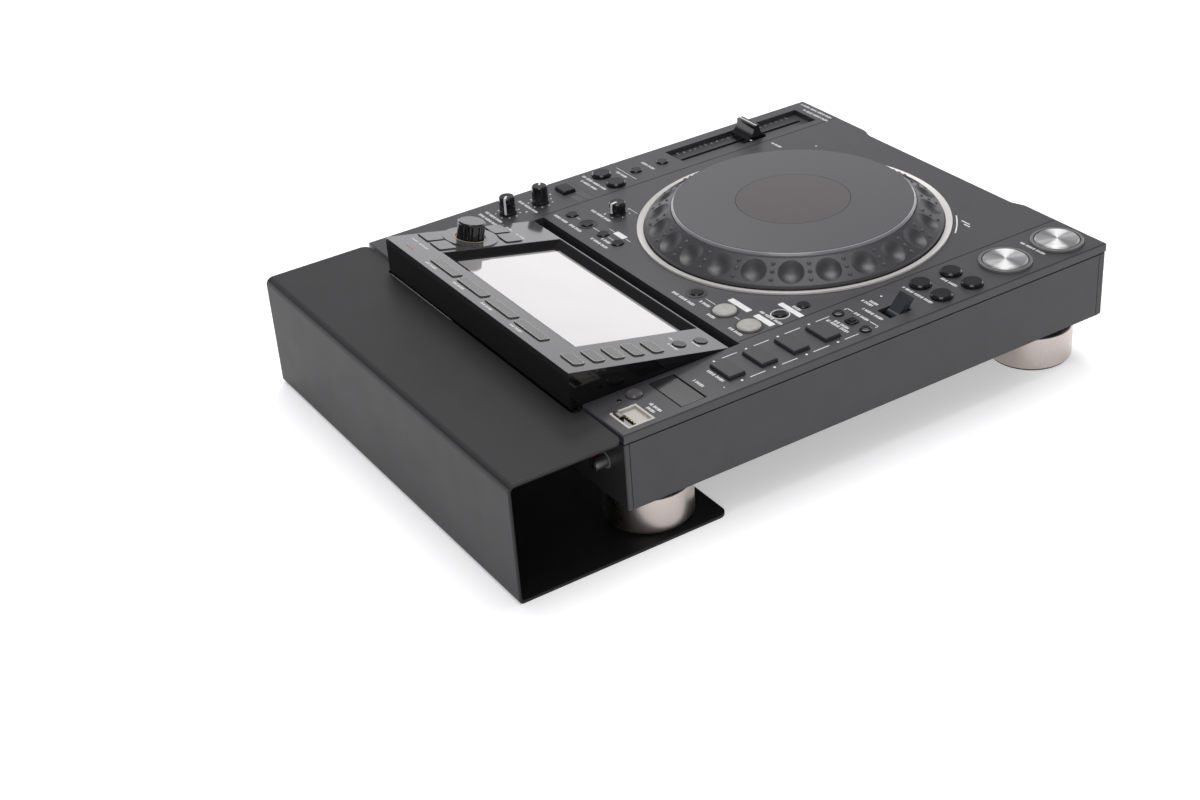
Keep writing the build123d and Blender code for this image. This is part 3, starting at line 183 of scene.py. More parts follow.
class Piece:
    """One piece of the object, gathered from solids that each have a place and a finish."""

    def __init__(self):
        self.mesh = bmesh.new()

    def add(self, solid, place, finish=0):
        for face in solid.faces:
            face.material_index = finish
        bmesh.ops.scale(solid, vec=(MM, MM, MM), verts=solid.verts)
        bmesh.ops.transform(solid, matrix=place, verts=solid.verts)
        step = bpy.data.meshes.new("step")
        solid.to_mesh(step)
        solid.free()
        self.mesh.from_mesh(step)
        bpy.data.meshes.remove(step)

    def done(self, name, body, finishes):
        data = bpy.data.meshes.new(name)
        self.mesh.to_mesh(data)
        self.mesh.free()
        piece = bpy.data.objects.new(name, data)
        bpy.context.scene.collection.objects.link(piece)
        for finish in finishes:
            data.materials.append(finish)
        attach(piece, body)
        return piece


# Shader nodes

def new_material(name, colour, rough, metal=0.0, coat=0.0, coat_rough=0.05, specular=0.5):
    material = bpy.data.materials.new(name)
    material.use_nodes = True
    shader = shader_of(material)
    shader.inputs["Base Color"].default_value = (*colour, 1)
    shader.inputs["Roughness"].default_value = rough
    shader.inputs["Metallic"].default_value = metal
    shader.inputs["Coat Weight"].default_value = coat
    shader.inputs["Coat Roughness"].default_value = coat_rough
    shader.inputs["Specular IOR Level"].default_value = specular
    return material


def shader_of(material):
    return material.node_tree.nodes["Principled BSDF"]


def new_node(material, kind, operation=None):
    node = material.node_tree.nodes.new(kind)
    if operation:
        node.operation = operation
    return node


def wire(material, output, socket):
    material.node_tree.links.new(output, socket)


def object_spot(material):
    """The shaded point, in the object's own coordinates."""
    return new_node(material, "ShaderNodeTexCoord").outputs["Object"]


def mapped(material, value, start, stop, low=0.0, high=1.0):
    """The value's run from start to stop, mapped to low and high."""
    span = new_node(material, "ShaderNodeMapRange")
    span.inputs["From Min"].default_value = start
    span.inputs["From Max"].default_value = stop
    span.inputs["To Min"].default_value = low
    span.inputs["To Max"].default_value = high
    wire(material, value, span.inputs["Value"])
    return span.outputs["Result"]


def coloured(material, value, first, last, between=(), interpolation="LINEAR"):
    """Base colour from a value, by a ramp whose stops are each a place on it and a colour."""
    ramp = new_node(material, "ShaderNodeValToRGB")
    band = ramp.color_ramp
    band.interpolation = interpolation
    for stop, (place, colour) in zip(band.elements, (first, last)):
        stop.position = place
        stop.color = (*colour, 1)
    for place, colour in between:
        band.elements.new(place).color = (*colour, 1)
    wire(material, value, ramp.inputs["Fac"])
    wire(material, ramp.outputs["Color"], shader_of(material).inputs["Base Color"])
    return material


def noise(material, scale, detail, stretch=(1, 1, 1)):
    """Noise on the object's own coordinates, stretched along the axes where asked."""
    mapping = new_node(material, "ShaderNodeMapping")
    mapping.inputs["Scale"].default_value = stretch
    texture = new_node(material, "ShaderNodeTexNoise")
    texture.inputs["Scale"].default_value = scale
    texture.inputs["Detail"].default_value = detail
    wire(material, object_spot(material), mapping.inputs["Vector"])
    wire(material, mapping.outputs["Vector"], texture.inputs["Vector"])
    return texture.outputs["Fac"]


def arm_from(material, x, y):
    """The level arm from an upright axis to the shaded point."""
    arm = new_node(material, "ShaderNodeVectorMath", "SUBTRACT")
    arm.inputs[1].default_value = spot(x, y, 0)
    flat = new_node(material, "ShaderNodeVectorMath", "MULTIPLY")
    flat.inputs[1].default_value = (1, 1, 0)
    wire(material, object_spot(material), arm.inputs[0])
    wire(material, arm.outputs["Vector"], flat.inputs[0])
    return flat.outputs["Vector"]


def length_of(material, arm):
    reach = new_node(material, "ShaderNodeVectorMath", "LENGTH")
    wire(material, arm, reach.inputs[0])
    return reach.outputs["Value"]


# Kinds of finish

NOISE_SPAN = (0.3, 0.7)
MOTTLE_SPAN = (0.35, 0.65)
BROAD_SCALE = 28.0
BUMP_STRENGTH = 0.6


def grain(material, scale, depth, rough_low, rough_high, stretch=(1, 1, 1)):
    """Fine surface grain: bump from fine noise, roughness from a broader one."""
    shader = shader_of(material)
    bump = new_node(material, "ShaderNodeBump")
    bump.inputs["Strength"].default_value = BUMP_STRENGTH
    bump.inputs["Distance"].default_value = depth * MM
    wire(material, noise(material, scale, 4.0, stretch), bump.inputs["Height"])
    wire(material, bump.outputs["Normal"], shader.inputs["Normal"])
    broad = noise(material, BROAD_SCALE, 4.0, stretch)
    rough = mapped(material, broad, *NOISE_SPAN, rough_low, rough_high)
    wire(material, rough, shader.inputs["Roughness"])
    return material


def mottle(material, one, two, scale):
    """Slow change between two near colours."""
    start, stop = MOTTLE_SPAN
    return coloured(material, noise(material, scale, 5.0), (start, one), (stop, two))


def turned_face(name, x, y):
    """Metal brushed in circles round a centre: the sheen spreads outward from it."""
    material = new_material(name, (0.56, 0.56, 0.56), 0.45, metal=1.0)
    shader = shader_of(material)
    shader.inputs["Anisotropic"].default_value = 0.95
    arm = arm_from(material, x, y)
    outward = new_node(material, "ShaderNodeVectorMath", "NORMALIZE")
    wire(material, arm, outward.inputs[0])
    wire(material, outward.outputs["Vector"], shader.inputs["Tangent"])
    # Fine rings: roughness changes with the distance from the centre
    rings = new_node(material, "ShaderNodeTexNoise")
    rings.noise_dimensions = "1D"
    rings.inputs["Scale"].default_value = 4000.0
    wire(material, length_of(material, arm), rings.inputs["W"])
    rough = mapped(material, rings.outputs["Fac"], *NOISE_SPAN, 0.32, 0.4)
    wire(material, rough, shader.inputs["Roughness"])
    return material


def plate_highlight_bands(material):
    """Dark line round the jog plate, then pale bands of painted highlight with grey bands between
    them on its bevelled edge.
    """
    reach = length_of(material, arm_from(material, JOG_X, JOG_Y))
    across = mapped(material, reach, PLATE_EDGE_INNER * MM, PLATE_EDGE_OUTER * MM)
    # Stops as place and grey level; the pale ones are painted highlight on the bevel
    bands = [(place, (shade, shade, shade * 1.05))
             for place, shade in ((0.2, 0.015), (0.3, 0.35), (0.42, 0.17), (0.78, 0.5))]
    return coloured(material, across, (0.0, (0.083, 0.081, 0.084)), (0.94, (0.12, 0.12, 0.13)),
                    bands, "CONSTANT")


def face_colours(material):
    """Grey top on the face plate, gloss black on its edges and in the frame of the window."""
    out_of_slope = (0, -sin(TILT), cos(TILT))
    level = Vector(out_of_slope).dot(spot(0, SCREEN_Y, TOP - 0.3))
    soft = 0.1 * MM
    height = new_node(material, "ShaderNodeVectorMath", "DOT_PRODUCT")
    height.inputs[1].default_value = out_of_slope
    wire(material, object_spot(material), height.inputs[0])
    upper = mapped(material, height.outputs["Value"], level - soft, level + soft)
    return coloured(material, upper, (0.0, (0.003, 0.003, 0.0035)), (1.0, (0.06, 0.058, 0.06)))


def guard_painted_shade(material):
    """Folded sheet with painted shade: near black on its inner side, which the covers shade, and
    its top painted a little darker than its rear.
    """
    inner, outer = 1.2, 0.8
    top_share = 0.7
    parts = new_node(material, "ShaderNodeSeparateXYZ")
    wire(material, object_spot(material), parts.inputs["Vector"])
    rear = GUARD_REAR + CENTRING
    behind = mapped(material, parts.outputs["Y"], (rear - inner) * MM, (rear - outer) * MM)
    on_top = mapped(material, parts.outputs["Z"],
                    (GUARD_TOP - inner) * MM, (GUARD_TOP - outer) * MM)
    upper = new_node(material, "ShaderNodeMath", "MULTIPLY")
    upper.inputs[1].default_value = top_share
    wire(material, on_top, upper.inputs[0])
    outside = new_node(material, "ShaderNodeMath", "MAXIMUM")
    wire(material, behind, outside.inputs[0])
    wire(material, upper.outputs["Value"], outside.inputs[1])
    return coloured(material, outside.outputs["Value"],
                    (0.0, (0.004, 0.004, 0.004)), (1.0, (0.027, 0.026, 0.028)))


# Finishes. grain takes the noise's scale, its depth in millimetres and two roughnesses.
# mottle takes the two colours, which stand in for the material's own, and the noise's scale.

panel_mat = mottle(
    grain(new_material("panel_plastic", (0.037, 0.035, 0.039), 0.38), 2600, 0.02, 0.34, 0.39),
    (0.035, 0.033, 0.037), (0.039, 0.037, 0.041), 60.0)
cover_mat = mottle(
    grain(new_material("cover_plastic", (0.028, 0.027, 0.029), 0.4), 2200, 0.02, 0.36, 0.41),
    (0.026, 0.025, 0.027), (0.03, 0.029, 0.031), 60.0)
black_mat = grain(
    new_material("black_plastic", (0.016, 0.016, 0.017), 0.4), 2400, 0.02, 0.34, 0.46)
gloss_mat = grain(
    new_material("gloss_black", (0.003, 0.003, 0.0035), 0.06), 900, 0.0005, 0.04, 0.08)
chassis_mat = grain(
    new_material("chassis_paint", (0.014, 0.014, 0.015), 0.5), 1800, 0.03, 0.42, 0.58)
# Powder coat with painted shade on the guard's inner side and top
guard_mat = guard_painted_shade(grain(
    new_material("guard_powder_coat", (0.022, 0.021, 0.023), 0.5, specular=0.3),
    3000, 0.05, 0.47, 0.52))
foot_mat = grain(
    new_material("foot_metal", (0.52, 0.46, 0.43), 0.28, metal=1.0), 1500, 0.002, 0.25, 0.3)
rubber_mat = grain(
    new_material("rubber", (0.05, 0.045, 0.042), 0.75), 1500, 0.05, 0.68, 0.82)
jog_side_mat = grain(
    new_material("jog_side_plastic", (0.038, 0.038, 0.041), 0.38), 2200, 0.005, 0.35, 0.42)
# The jog plate's bevelled edge carries pale bands of painted highlight
jog_face_mat = plate_highlight_bands(new_material(
    "jog_face_plate", (0.083, 0.081, 0.084), 0.24, coat=0.3, coat_rough=0.1))
bright_mat = grain(
    new_material("bright_trim", (0.69, 0.67, 0.65), 0.3, metal=0.2), 1500, 0.001, 0.28, 0.34)
cream_mat = mottle(
    new_material("cream_key", (0.37, 0.36, 0.335), 0.28, coat=0.5),
    (0.33, 0.32, 0.295), (0.41, 0.4, 0.375), 160.0)
# Pale colour for the smoked keys' edges: painted highlight
key_edge_highlight_mat = mottle(
    new_material("key_edge", (0.3, 0.285, 0.25), 0.3),
    (0.27, 0.255, 0.225), (0.33, 0.315, 0.28), 200.0)
smoke_mat = mottle(
    new_material("smoked_key", (0.075, 0.072, 0.07), 0.22, coat=0.4),
    (0.07, 0.067, 0.065), (0.08, 0.077, 0.075), 150.0)
key_mat = grain(
    new_material("gloss_key", (0.006, 0.006, 0.007), 0.18, coat=0.5), 1800, 0.002, 0.12, 0.19)
face_mat = face_colours(grain(
    new_material("screen_face", (0.06, 0.058, 0.06), 0.14, coat=0.5), 1600, 0.001, 0.1, 0.16))
corner_key_mat = grain(
    new_material("corner_key_face", (0.05, 0.048, 0.05), 0.14, coat=0.5), 1600, 0.001, 0.1, 0.16)
glass_mat = grain(
    new_material("screen_glass", (0.012, 0.012, 0.014), 0.1, coat=0.6), 500, 0.001, 0.06, 0.12)
# Light grey over the screen glass: painted reflection of the bright surroundings
screen_reflection_mat = mottle(
    new_material("painted_screen_reflection", (0.68, 0.66, 0.65), 0.07, metal=0.6),
    (0.67, 0.65, 0.64), (0.69, 0.67, 0.66), 30.0)
window_mat = mottle(
    new_material("jog_window_tint", (0.105, 0.094, 0.097), 0.14, coat=0.5),
    (0.103, 0.092, 0.095), (0.107, 0.096, 0.099), 100.0)
board_mat = mottle(
    new_material("board_green", (0.01, 0.045, 0.02), 0.4),
    (0.008, 0.04, 0.016), (0.012, 0.05, 0.024), 40.0)
steel_mat = grain(
    new_material("drive_steel", (0.5, 0.5, 0.5), 0.35, metal=1.0),
    900, 0.01, 0.28, 0.42, (1, 8, 1))
door_mat = grain(
    new_material("card_door", (0.014, 0.014, 0.015), 0.22), 1800, 0.003, 0.19, 0.26)
pad_mat = grain(
    new_material("pad_rubber", (0.026, 0.025, 0.027), 0.38), 2400, 0.02, 0.34, 0.42)
lever_mat = grain(
    new_material("lever_plastic", (0.018, 0.02, 0.028), 0.38), 2400, 0.02, 0.33, 0.44)
port_mat = grain(
    new_material("port_plastic", (0.5, 0.47, 0.43), 0.3), 1500, 0.01, 0.24, 0.36)
ring_mat = mottle(
    new_material("light_ring", (0.15, 0.147, 0.14), 0.28, coat=0.4),
    (0.135, 0.132, 0.126), (0.165, 0.162, 0.154), 50.0)
ink_mat = mottle(
    new_material("white_ink", (0.76, 0.76, 0.76), 0.5),
    (0.72, 0.72, 0.72), (0.8, 0.8, 0.8), 300.0)
label_mat = mottle(
    new_material("label_ink", (0.66, 0.66, 0.66), 0.5),
    (0.62, 0.62, 0.62), (0.7, 0.7, 0.7), 500.0)
nickel_mat = grain(
    new_material("dark_nickel", (0.2, 0.2, 0.2), 0.4, metal=1.0), 1500, 0.004, 0.35, 0.45)
gold_mat = grain(
    new_material("gold_contact", (0.8, 0.56, 0.22), 0.25, metal=1.0), 1500, 0.004, 0.2, 0.3)
red_mat = mottle(
    new_material("red_insert", (0.4, 0.02, 0.02), 0.4),
    (0.36, 0.018, 0.018), (0.44, 0.025, 0.025), 200.0)
amber_mat = mottle(
    new_material("amber_ring", (0.3, 0.22, 0.16), 0.3),
    (0.28, 0.205, 0.15), (0.32, 0.235, 0.17), 300.0)
insert_mat = mottle(
    new_material("grey_insert", (0.16, 0.16, 0.16), 0.45),
    (0.15, 0.15, 0.15), (0.17, 0.17, 0.17), 300.0)
floor_mat = mottle(
    new_material("studio_floor", (0.88, 0.88, 0.89), 0.6),
    (0.875, 0.875, 0.885), (0.885, 0.885, 0.895), 3.0)
play_mat = turned_face("play_metal", STRIP_L, PLAY_Y)
cue_mat = turned_face("cue_metal", STRIP_L, CUE_Y)

# The finish of each node of the part
node_looks = {
    "top_panel": panel_mat, "front_panel": cover_mat, "rear_panel": cover_mat,
    "side_covers": cover_mat, "bottom_chassis": chassis_mat, "rear_guard": guard_mat,
    "foot_sleeves": foot_mat, "foot_pads": rubber_mat,
    "jog_rim": jog_side_mat, "jog_plate": jog_face_mat, "jog_trim_ring": bright_mat,
    "button_rings": ring_mat, "play_button": play_mat, "cue_button": cue_mat,
    "direction_lever": lever_mat, "sd_door": door_mat, "usb_port": port_mat,
    "usb_stop_key": smoke_mat, "loop_in_key": cream_mat, "loop_out_key": cream_mat,
    "hot_cue_pad_a": pad_mat, "hot_cue_pad_b": pad_mat,
    "hot_cue_pad_c": pad_mat, "hot_cue_pad_d": pad_mat,
    "screen_housing": gloss_mat, "screen_bezel": face_mat, "touch_screen": glass_mat,
    "browse_keys": smoke_mat, "source_keys": smoke_mat, "side_keys": gloss_mat,
    "selector_keys": corner_key_mat, "selector_knob": key_mat, "release_knob": key_mat,
    "touch_brake_knob": key_mat, "jog_adjust_knob": key_mat, "tempo_slider": key_mat,
    "key_board": board_mat, "main_board": board_mat, "screws": steel_mat,
    "disc_drive": steel_mat, "power_supply": steel_mat,
}
# The other keys are gloss black, and what is left is plain black
for name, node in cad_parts.items():
    look = node_looks.get(name, key_mat if name.endswith(("_key", "_keys")) else black_mat)
    if not node.material_slots:
        node.data.materials.append(look)
    for place in node.material_slots:
        place.material = look


# Printed marks

BAR_WIDTHS = (1.0, 1.4, 0.7, 1.2)
NARROWEST_BAR, LOW_BAR_SHARE = 0.6, 0.8
BAR_GAP, GROUP_GAP = 0.5, 1.5


def label(marks, x0, x1, middle, half, place, finish):
    """Row of short bars in groups, the size of small lettering."""
    at, count = x0, 0
    while at < x1 - NARROWEST_BAR:
        width = BAR_WIDTHS[count % len(BAR_WIDTHS)]
        high = half if count % 3 else half * LOW_BAR_SHARE
        mark = bar(at, min(at + width, x1), middle - high, middle + high, SUNK, INK)
        marks.add(mark, place, finish)
        count += 1
        at += width + (GROUP_GAP if count % 5 == 0 else BAR_GAP)


# Labels on the flat panel, as x0, x1 and y of the middle
loop_labels = [
    (-108.5, -95.5, 67.5), (-80, -72.5, 67.5), (-58, -34, 67.5), (-66, -55.5, 61.25),
    (-113, -91, 40.25), (-106, -98, 20.25),
]
memory_labels = [
    (45.5, 65.5, 66.25), (50, 60, 61), (78.5, 93.5, 66.25), (96.5, 113, 66.25),
    (79, 102.5, 42.25),
]
right_strip_labels = [
    (124, 151, 106.25), (127, 149, 101), (124, 150, 74), (129, 149, 21.5), (124.5, 155, 16.5),
    (132, 145, -6.25), (131, 147, -29.5), (119, 156, -183), (117, 146, -177.5),
    (101, 113, -121.85),
]
left_strip_labels = [
    (-149.5, -141.5, 159.7), (-151, -139, 156), (-143.5, -134, 121), (-146, -130, 108.25),
    (-146.5, -125.5, 15.2), (-143, -129, 12.2), (-142.8, -129.8, -3.6), (-147.5, -128.5, -11),
    (-130, -120, -17.5), (-131, -122, -20.7), (-150.5, -122, -48.25),
    (-143.5, -128.5, -74.5), (-146, -124, -146.75),
]
LABEL_HALF = 1.15

# Solid boxes and thin lines, as x0, x1, y0, y1
boxes = [(-110.5, -93, 43, 47.5), (-86.7, -66, 43, 47.5), (-113, -90.5, 22.5, 26.5),
         (50, 62, 46.5, 51)]
lines_between_keys = [
    (-66, -55.5, 56.5, 56.9), (-91.5, -86.5, 56.5, 56.9), (52, 60, 56.3, 56.7),
    (70, 78.5, 56.3, 56.7), (95, 99.5, 56.3, 56.7), (43, 49, 48.8, 49.2), (63, 69, 48.8, 49.2),
]
lines_on_right = [(125, 151, -10.2, -9.8), (77, 88, 20.8, 21.2)]
bank_bracket = [
    (-152.8, -144.5, -3.9, -3.3), (-128.2, -122.2, -3.9, -3.3), (-152.8, -152.2, -3.9, -1.2),
    (-122.8, -122.2, -3.9, -1.2),
]

# Dots, as x, y and radius
dots = [(91, 39, 0.6), (130, 79, 0.8), (144, 51, 0.7), (126, -113, 0.9), (-123.5, -30, 0.8),
        (86, -142.6, 0.8), (-152, 112, 0.5)]

# The four pads have a dot at each end and lines from pad to pad
PAD_SIDES_X = (-152.0, -123.5)
PAD_ENDS_Y = (99.0, 75.1, 51.2, 27.3)
PAD_LINES_Y = ((82, 93), (58, 69.5), (34, 46), (11.5, 22))
PAD_DOT, PAD_LINE_HALF = 0.85, 0.32

# Dots round the knobs, as x, y, count and radius
DOT_REACH = 8.6
knob_dots = [(STRIP_R, RELEASE_Y, 9, 0.6), (STRIP_R, BRAKE_Y, 9, 0.6),
             (ADJUST_X, ADJUST_Y, 7, 0.5)]
FIRST_DOT, DOT_SWEEP = -240, 300

marks = Piece()
for x0, x1, y in loop_labels + memory_labels + right_strip_labels + left_strip_labels:
    label(marks, x0, x1, y, LABEL_HALF, LEVEL, 1)
for x0, x1, y0, y1 in boxes:
    marks.add(bar(x0, x1, y0, y1, SUNK, INK, 0.6), LEVEL)
for x0, x1, y0, y1 in lines_between_keys + lines_on_right + bank_bracket:
    marks.add(bar(x0, x1, y0, y1, SUNK, INK), LEVEL)
for x, y, radius in dots:
    marks.add(disc(x, y, radius, SUNK, INK, steps=16), LEVEL)
for x in PAD_SIDES_X:
    for y in PAD_ENDS_Y:
        marks.add(disc(x, y, PAD_DOT, SUNK, INK, steps=16), LEVEL)
    for y0, y1 in PAD_LINES_Y:
        marks.add(bar(x - PAD_LINE_HALF, x + PAD_LINE_HALF, y0, y1, SUNK, INK), LEVEL)
# Printed ring round the quantize key
marks.add(ring(-102, 33, 5.7, 6.25, SUNK, INK), LEVEL)
# Arc at the front left of the jog wheel and two bars beside it
marks.add(ring(JOG_X, JOG_Y, 109.0, 109.9, SUNK, INK, 220, 14, 24), LEVEL)
for y, x0, x1 in ((-137.2, -86, -80), (-139.6, -83, -75)):
    marks.add(bar(x0, x1, y - 0.6, y + 0.6, SUNK, INK, 0.3, steps=2), LEVEL, 1)
for x, y, count, radius in knob_dots:
    for i in range(count):
        turn = radians(FIRST_DOT + DOT_SWEEP * i / (count - 1))
        dot = disc(x + DOT_REACH * cos(turn), y + DOT_REACH * sin(turn), radius, SUNK, INK,
                   steps=10)
        marks.add(dot, LEVEL)
marks.done("panel_marks", "player", [ink_mat, label_mat])

# Dark loops drawn round the pair of track keys and the pair of search keys
surrounds = Piece()
PAIR_HALF, LOOP_INNER, LOOP_OUTER = 10, 8.6, 9.0
LOOP_MIDDLE, LINE_HALF = (LOOP_INNER + LOOP_OUTER) / 2, 0.2
for y in (TRACK_Y, SEARCH_Y):
    for side in (-1, 1):
        end = ring(STRIP_L + side * PAIR_HALF, y, LOOP_INNER, LOOP_OUTER, SUNK, DARK_INK,
                   90 if side < 0 else -90, 180, 20)
        surrounds.add(end, LEVEL)
        edge = y + side * LOOP_MIDDLE
        run = bar(STRIP_L - PAIR_HALF, STRIP_L + PAIR_HALF, edge - LINE_HALF, edge + LINE_HALF,
                  SUNK, DARK_INK)
        surrounds.add(run, LEVEL)
# Raised rings round the loop keys, the reloop key and one of the memory keys
for x, y, inner, outer, high in (
    (-101.85, LOOP_Y, 8.05, 9.3, 0.35), (-76.25, LOOP_Y, 8.05, 9.3, 0.35),
    (-45.55, LOOP_Y, 4.7, 7.0, 0.3), (85.5, 56.7, 5.6, 6.8, 0.3),
):
    surrounds.add(ring(x, y, inner, outer, SUNK, high), LEVEL)
# Dark lines outside the light rings of the two large buttons and between ring and button
for y in (PLAY_Y, CUE_Y):
    surrounds.add(ring(STRIP_L, y, 17.35, 17.9, SUNK, DARK_INK, steps=96), LEVEL)
    surrounds.add(ring(STRIP_L, y, 14.95, 15.35, 1.5, 1.73, steps=96), LEVEL)
# Line between the mode key and the sync keys
surrounds.add(bar(119.5, 155, 28.6, 29.1, SUNK, DARK_INK), LEVEL)
surrounds.done("key_surrounds", "player", [black_mat])

# Tempo scale: ticks on both sides of the slot, every fifth one longer
scale_marks = Piece()
TICKS, TICK_PITCH, SCALE_Y = 21, 5.0, -112.5
FROM_SLOT, LONG_TICK, SHORT_TICK, TICK_HALF = 9.5, 3.6, 2.2, 0.15
recess = flat_place(h=RECESS_FLOOR)
for i in range(TICKS):
    y = SCALE_Y + (i - TICKS // 2) * TICK_PITCH
    run = LONG_TICK if i % 5 == 0 else SHORT_TICK
    for x0 in (STRIP_R - FROM_SLOT - run, STRIP_R + FROM_SLOT):
        scale_marks.add(bar(x0, x0 + run, y - TICK_HALF, y + TICK_HALF, SUNK, INK), recess)
scale_marks.done("tempo_scale", "player", [ink_mat])

# Indicator windows beside the mode key and the small lens near the stop key
windows = Piece()
for y0, y1 in ((38.2, 42.6), (31.6, 36.0)):
    windows.add(bar(120, 131, y0, y1, -0.3, 0.15, 0.8, 0.1), LEVEL)
windows.add(disc(-126, 168.5, 1.5, -0.3, 0.35, 0.25), LEVEL, 1)
windows.done("indicator_windows", "player", [smoke_mat, gloss_mat])

# Light sheet just above the glass, a painted reflection of the bright surroundings on the dark
# screen, whose rim is left as the dark border
reflection_sheet = Piece()
reflection_sheet.add(bar(-75.6, 70.6, 9.3, 84.2, SUNK, 0.05, 0.6), slope_place(w=GLASS_TOP))
reflection_sheet.done("painted_screen_reflection", "player", [screen_reflection_mat])

# Light edges of the smoked keys of the screen unit, a painted highlight, as piece, body, size,
# corner and places
KEY_MARGIN, BAND_WIDE, BAND_LOW, BAND_HIGH = 0.05, 0.6, 0.7, 0.85
for name, body, length, width, corner, places in (
    ("browse_key_edges", "browse_keys", 31.0, 7.6, 1.7, [(u, BROWSE_V) for u in BROWSE_U]),
    ("source_key_edges", "source_keys", 16.5, 8.0, 2.1, [(SOURCE_U, v) for v in SOURCE_V]),
):
    edges = Piece()
    half_u, half_v = length / 2 - KEY_MARGIN, width / 2 - KEY_MARGIN
    for u, v in places:
        edges.add(edge_band(u - half_u, u + half_u, v - half_v, v + half_v,
                            BAND_LOW, BAND_HIGH, corner, BAND_WIDE), SLOPE)
    edges.done(name, body, [key_edge_highlight_mat])

# Labels on the tilted face: over the keys above the screen, then as u, v and length
face_marks = Piece()
for u in (-54.5, -18.8, 16.9, 52.6):
    label(face_marks, u, u + 13, 110.2, 1.0, SLOPE, 0)
for u, v, run in (
    (-108.5, 32.8, 11), (-108.5, 16.8, 9), (-95, 27, 5), (86, 98.5, 12), (100, 98.5, 9),
    (84, 25.5, 12), (101, 25.5, 8),
):
    label(face_marks, u, u + run, v, 0.9, SLOPE, 0)
for u in (88, 93.2):
    face_marks.add(bar(u, u + 4.4, 107.6, 108.4, SUNK, INK, 0.3, steps=2), SLOPE, 1)
face_marks.done("face_marks", "player", [label_mat, red_mat])

# White pointers up the knob's side, along its top and over its edge, as the knob, its place,
# its radius at the foot and at the top, its height, the pointer's turn and half its width
for name, x, y, foot, tip, height, turn, half in (
    ("release_knob", STRIP_R, RELEASE_Y, 6.2, 5.5, 13.0, 136, 0.75),
    ("touch_brake_knob", STRIP_R, BRAKE_Y, 6.2, 5.5, 13.0, -35, 0.75),
    ("jog_adjust_knob", ADJUST_X, ADJUST_Y, 6.2, 5.7, 8.4, 100, 0.85),
):
    pointer = Piece()
    place = flat_place(x, y, 0, radians(turn))
    lean = atan2(foot - tip, height)
    half_way = Vector(((tip + foot) / 2 * MM, 0, height / 2 * MM))
    up_side = place @ Matrix.Translation(half_way) @ Matrix.Rotation(-lean, 4, "Y")
    pointer.add(bar(-0.9, 0.15, -half, half, 1.4 - height / 2, height / 2 - 0.7), up_side)
    pointer.add(bar(0.6, tip - 0.5, -half, half, height - 0.3, height + 0.08), place)
    pointer.add(bar(tip - 0.9, tip + 0.1, -half, half, height - 1.2, height - 0.35), place)
    pointer.done(name + "_pointer", name, [ink_mat])

# Bank keys: a square cap with a raised middle between two round ones
caps = Piece()
KEY_FOOT = -2.5
for x in (STRIP_L - BANK_PITCH, STRIP_L + BANK_PITCH):
    caps.add(disc(x, BANK_Y, 3.6, KEY_FOOT, 1.5, 0.7, 40), LEVEL)
    caps.add(disc(x, BANK_Y, 2.1, 1.4, 1.75, 0.25, 40), LEVEL)
for half, low, high, corner, edge in ((3.4, KEY_FOOT, 1.2, 0.4, 0.35), (1.8, 1.1, 2.0, 0.3, 0.25)):
    caps.add(bar(STRIP_L - half, STRIP_L + half, BANK_Y - half, BANK_Y + half, low, high,
                 corner, edge), LEVEL)
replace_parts(caps.done("bank_key_caps", "bank_keys", [key_mat]), "bank_keys")

# White line on the slider's ridge
line = Piece()
line.add(bar(-10.4, 10.4, -0.45, 0.45, -0.05, 0.05), flat_place(STRIP_R, SLIDER_Y, SLIDER_RIDGE))
line.done("slider_line", "tempo_slider", [ink_mat])

# USB port: black shutter along its rear, high at one end, and gold contacts on a black wall.
# x is from the middle of the port, and the heights are from the panel.
shutter = Piece()
port = flat_place(PORT_X)
shutter.add(bar(-8.7, 2.2, 176.2, 179.3, -1.95, -1.0, 0.4, 0.25), port)
shutter.add(bar(1.8, 9.6, 176.0, 179.3, -1.95, 1.2, 0.8, 0.4), port)
shutter.add(bar(-6.4, 6.4, 172.8, 173.1, -8.0, -2.1), port)
shutter.add(bar(-6.4, 6.4, 176.3, 178.1, -8.0, -2.1), port)
for x in (-3.9, -1.3, 1.3, 3.9):
    shutter.add(bar(x - 0.7, x + 0.7, 173.05, 173.4, -7.5, -2.15), port, 1)
shutter.done("usb_shutter", "player", [key_mat, gold_mat])

# Tinted window in the jog wheel's plate
window = Piece()
window.add(disc(0, 0, 38.5, PLATE_TOP - 0.3, PLATE_TOP + 0.02, steps=96),
           flat_place(JOG_X, JOG_Y))
window.done("jog_window", "jog_plate", [window_mat])

# Thin amber ring at the foot of the selector
amber = Piece()
amber.add(ring(0, 0, 10.7, 12.0, 0.5, 0.88, steps=64), slope_place(SELECTOR_U, SELECTOR_V))
amber.done("selector_light", "player", [amber_mat])

# Sockets at the rear: insert round the mouth, gold contact at the bottom and nickel barrel,
# as x and the insert's finish
jacks = Piece()
for x, insert in ((-138.0, 0), (-122.0, 1), (-98.0, 2)):
    place = rear_place(x, SOCKET_HEIGHT)
    jacks.add(ring(0, 0, 4.15, 5.4, -0.1, 0.5), place, insert)
    jacks.add(ring(0, 0, 1.75, 2.6, 8.9, 9.1), place, 3)
    jacks.add(ring(0, 0, 3.6, 4.18, 1.0, 8.9), place, 4)
jacks.done("socket_rings", "player", [insert_mat, red_mat, black_mat, gold_mat, nickel_mat])


# Floor, light and camera

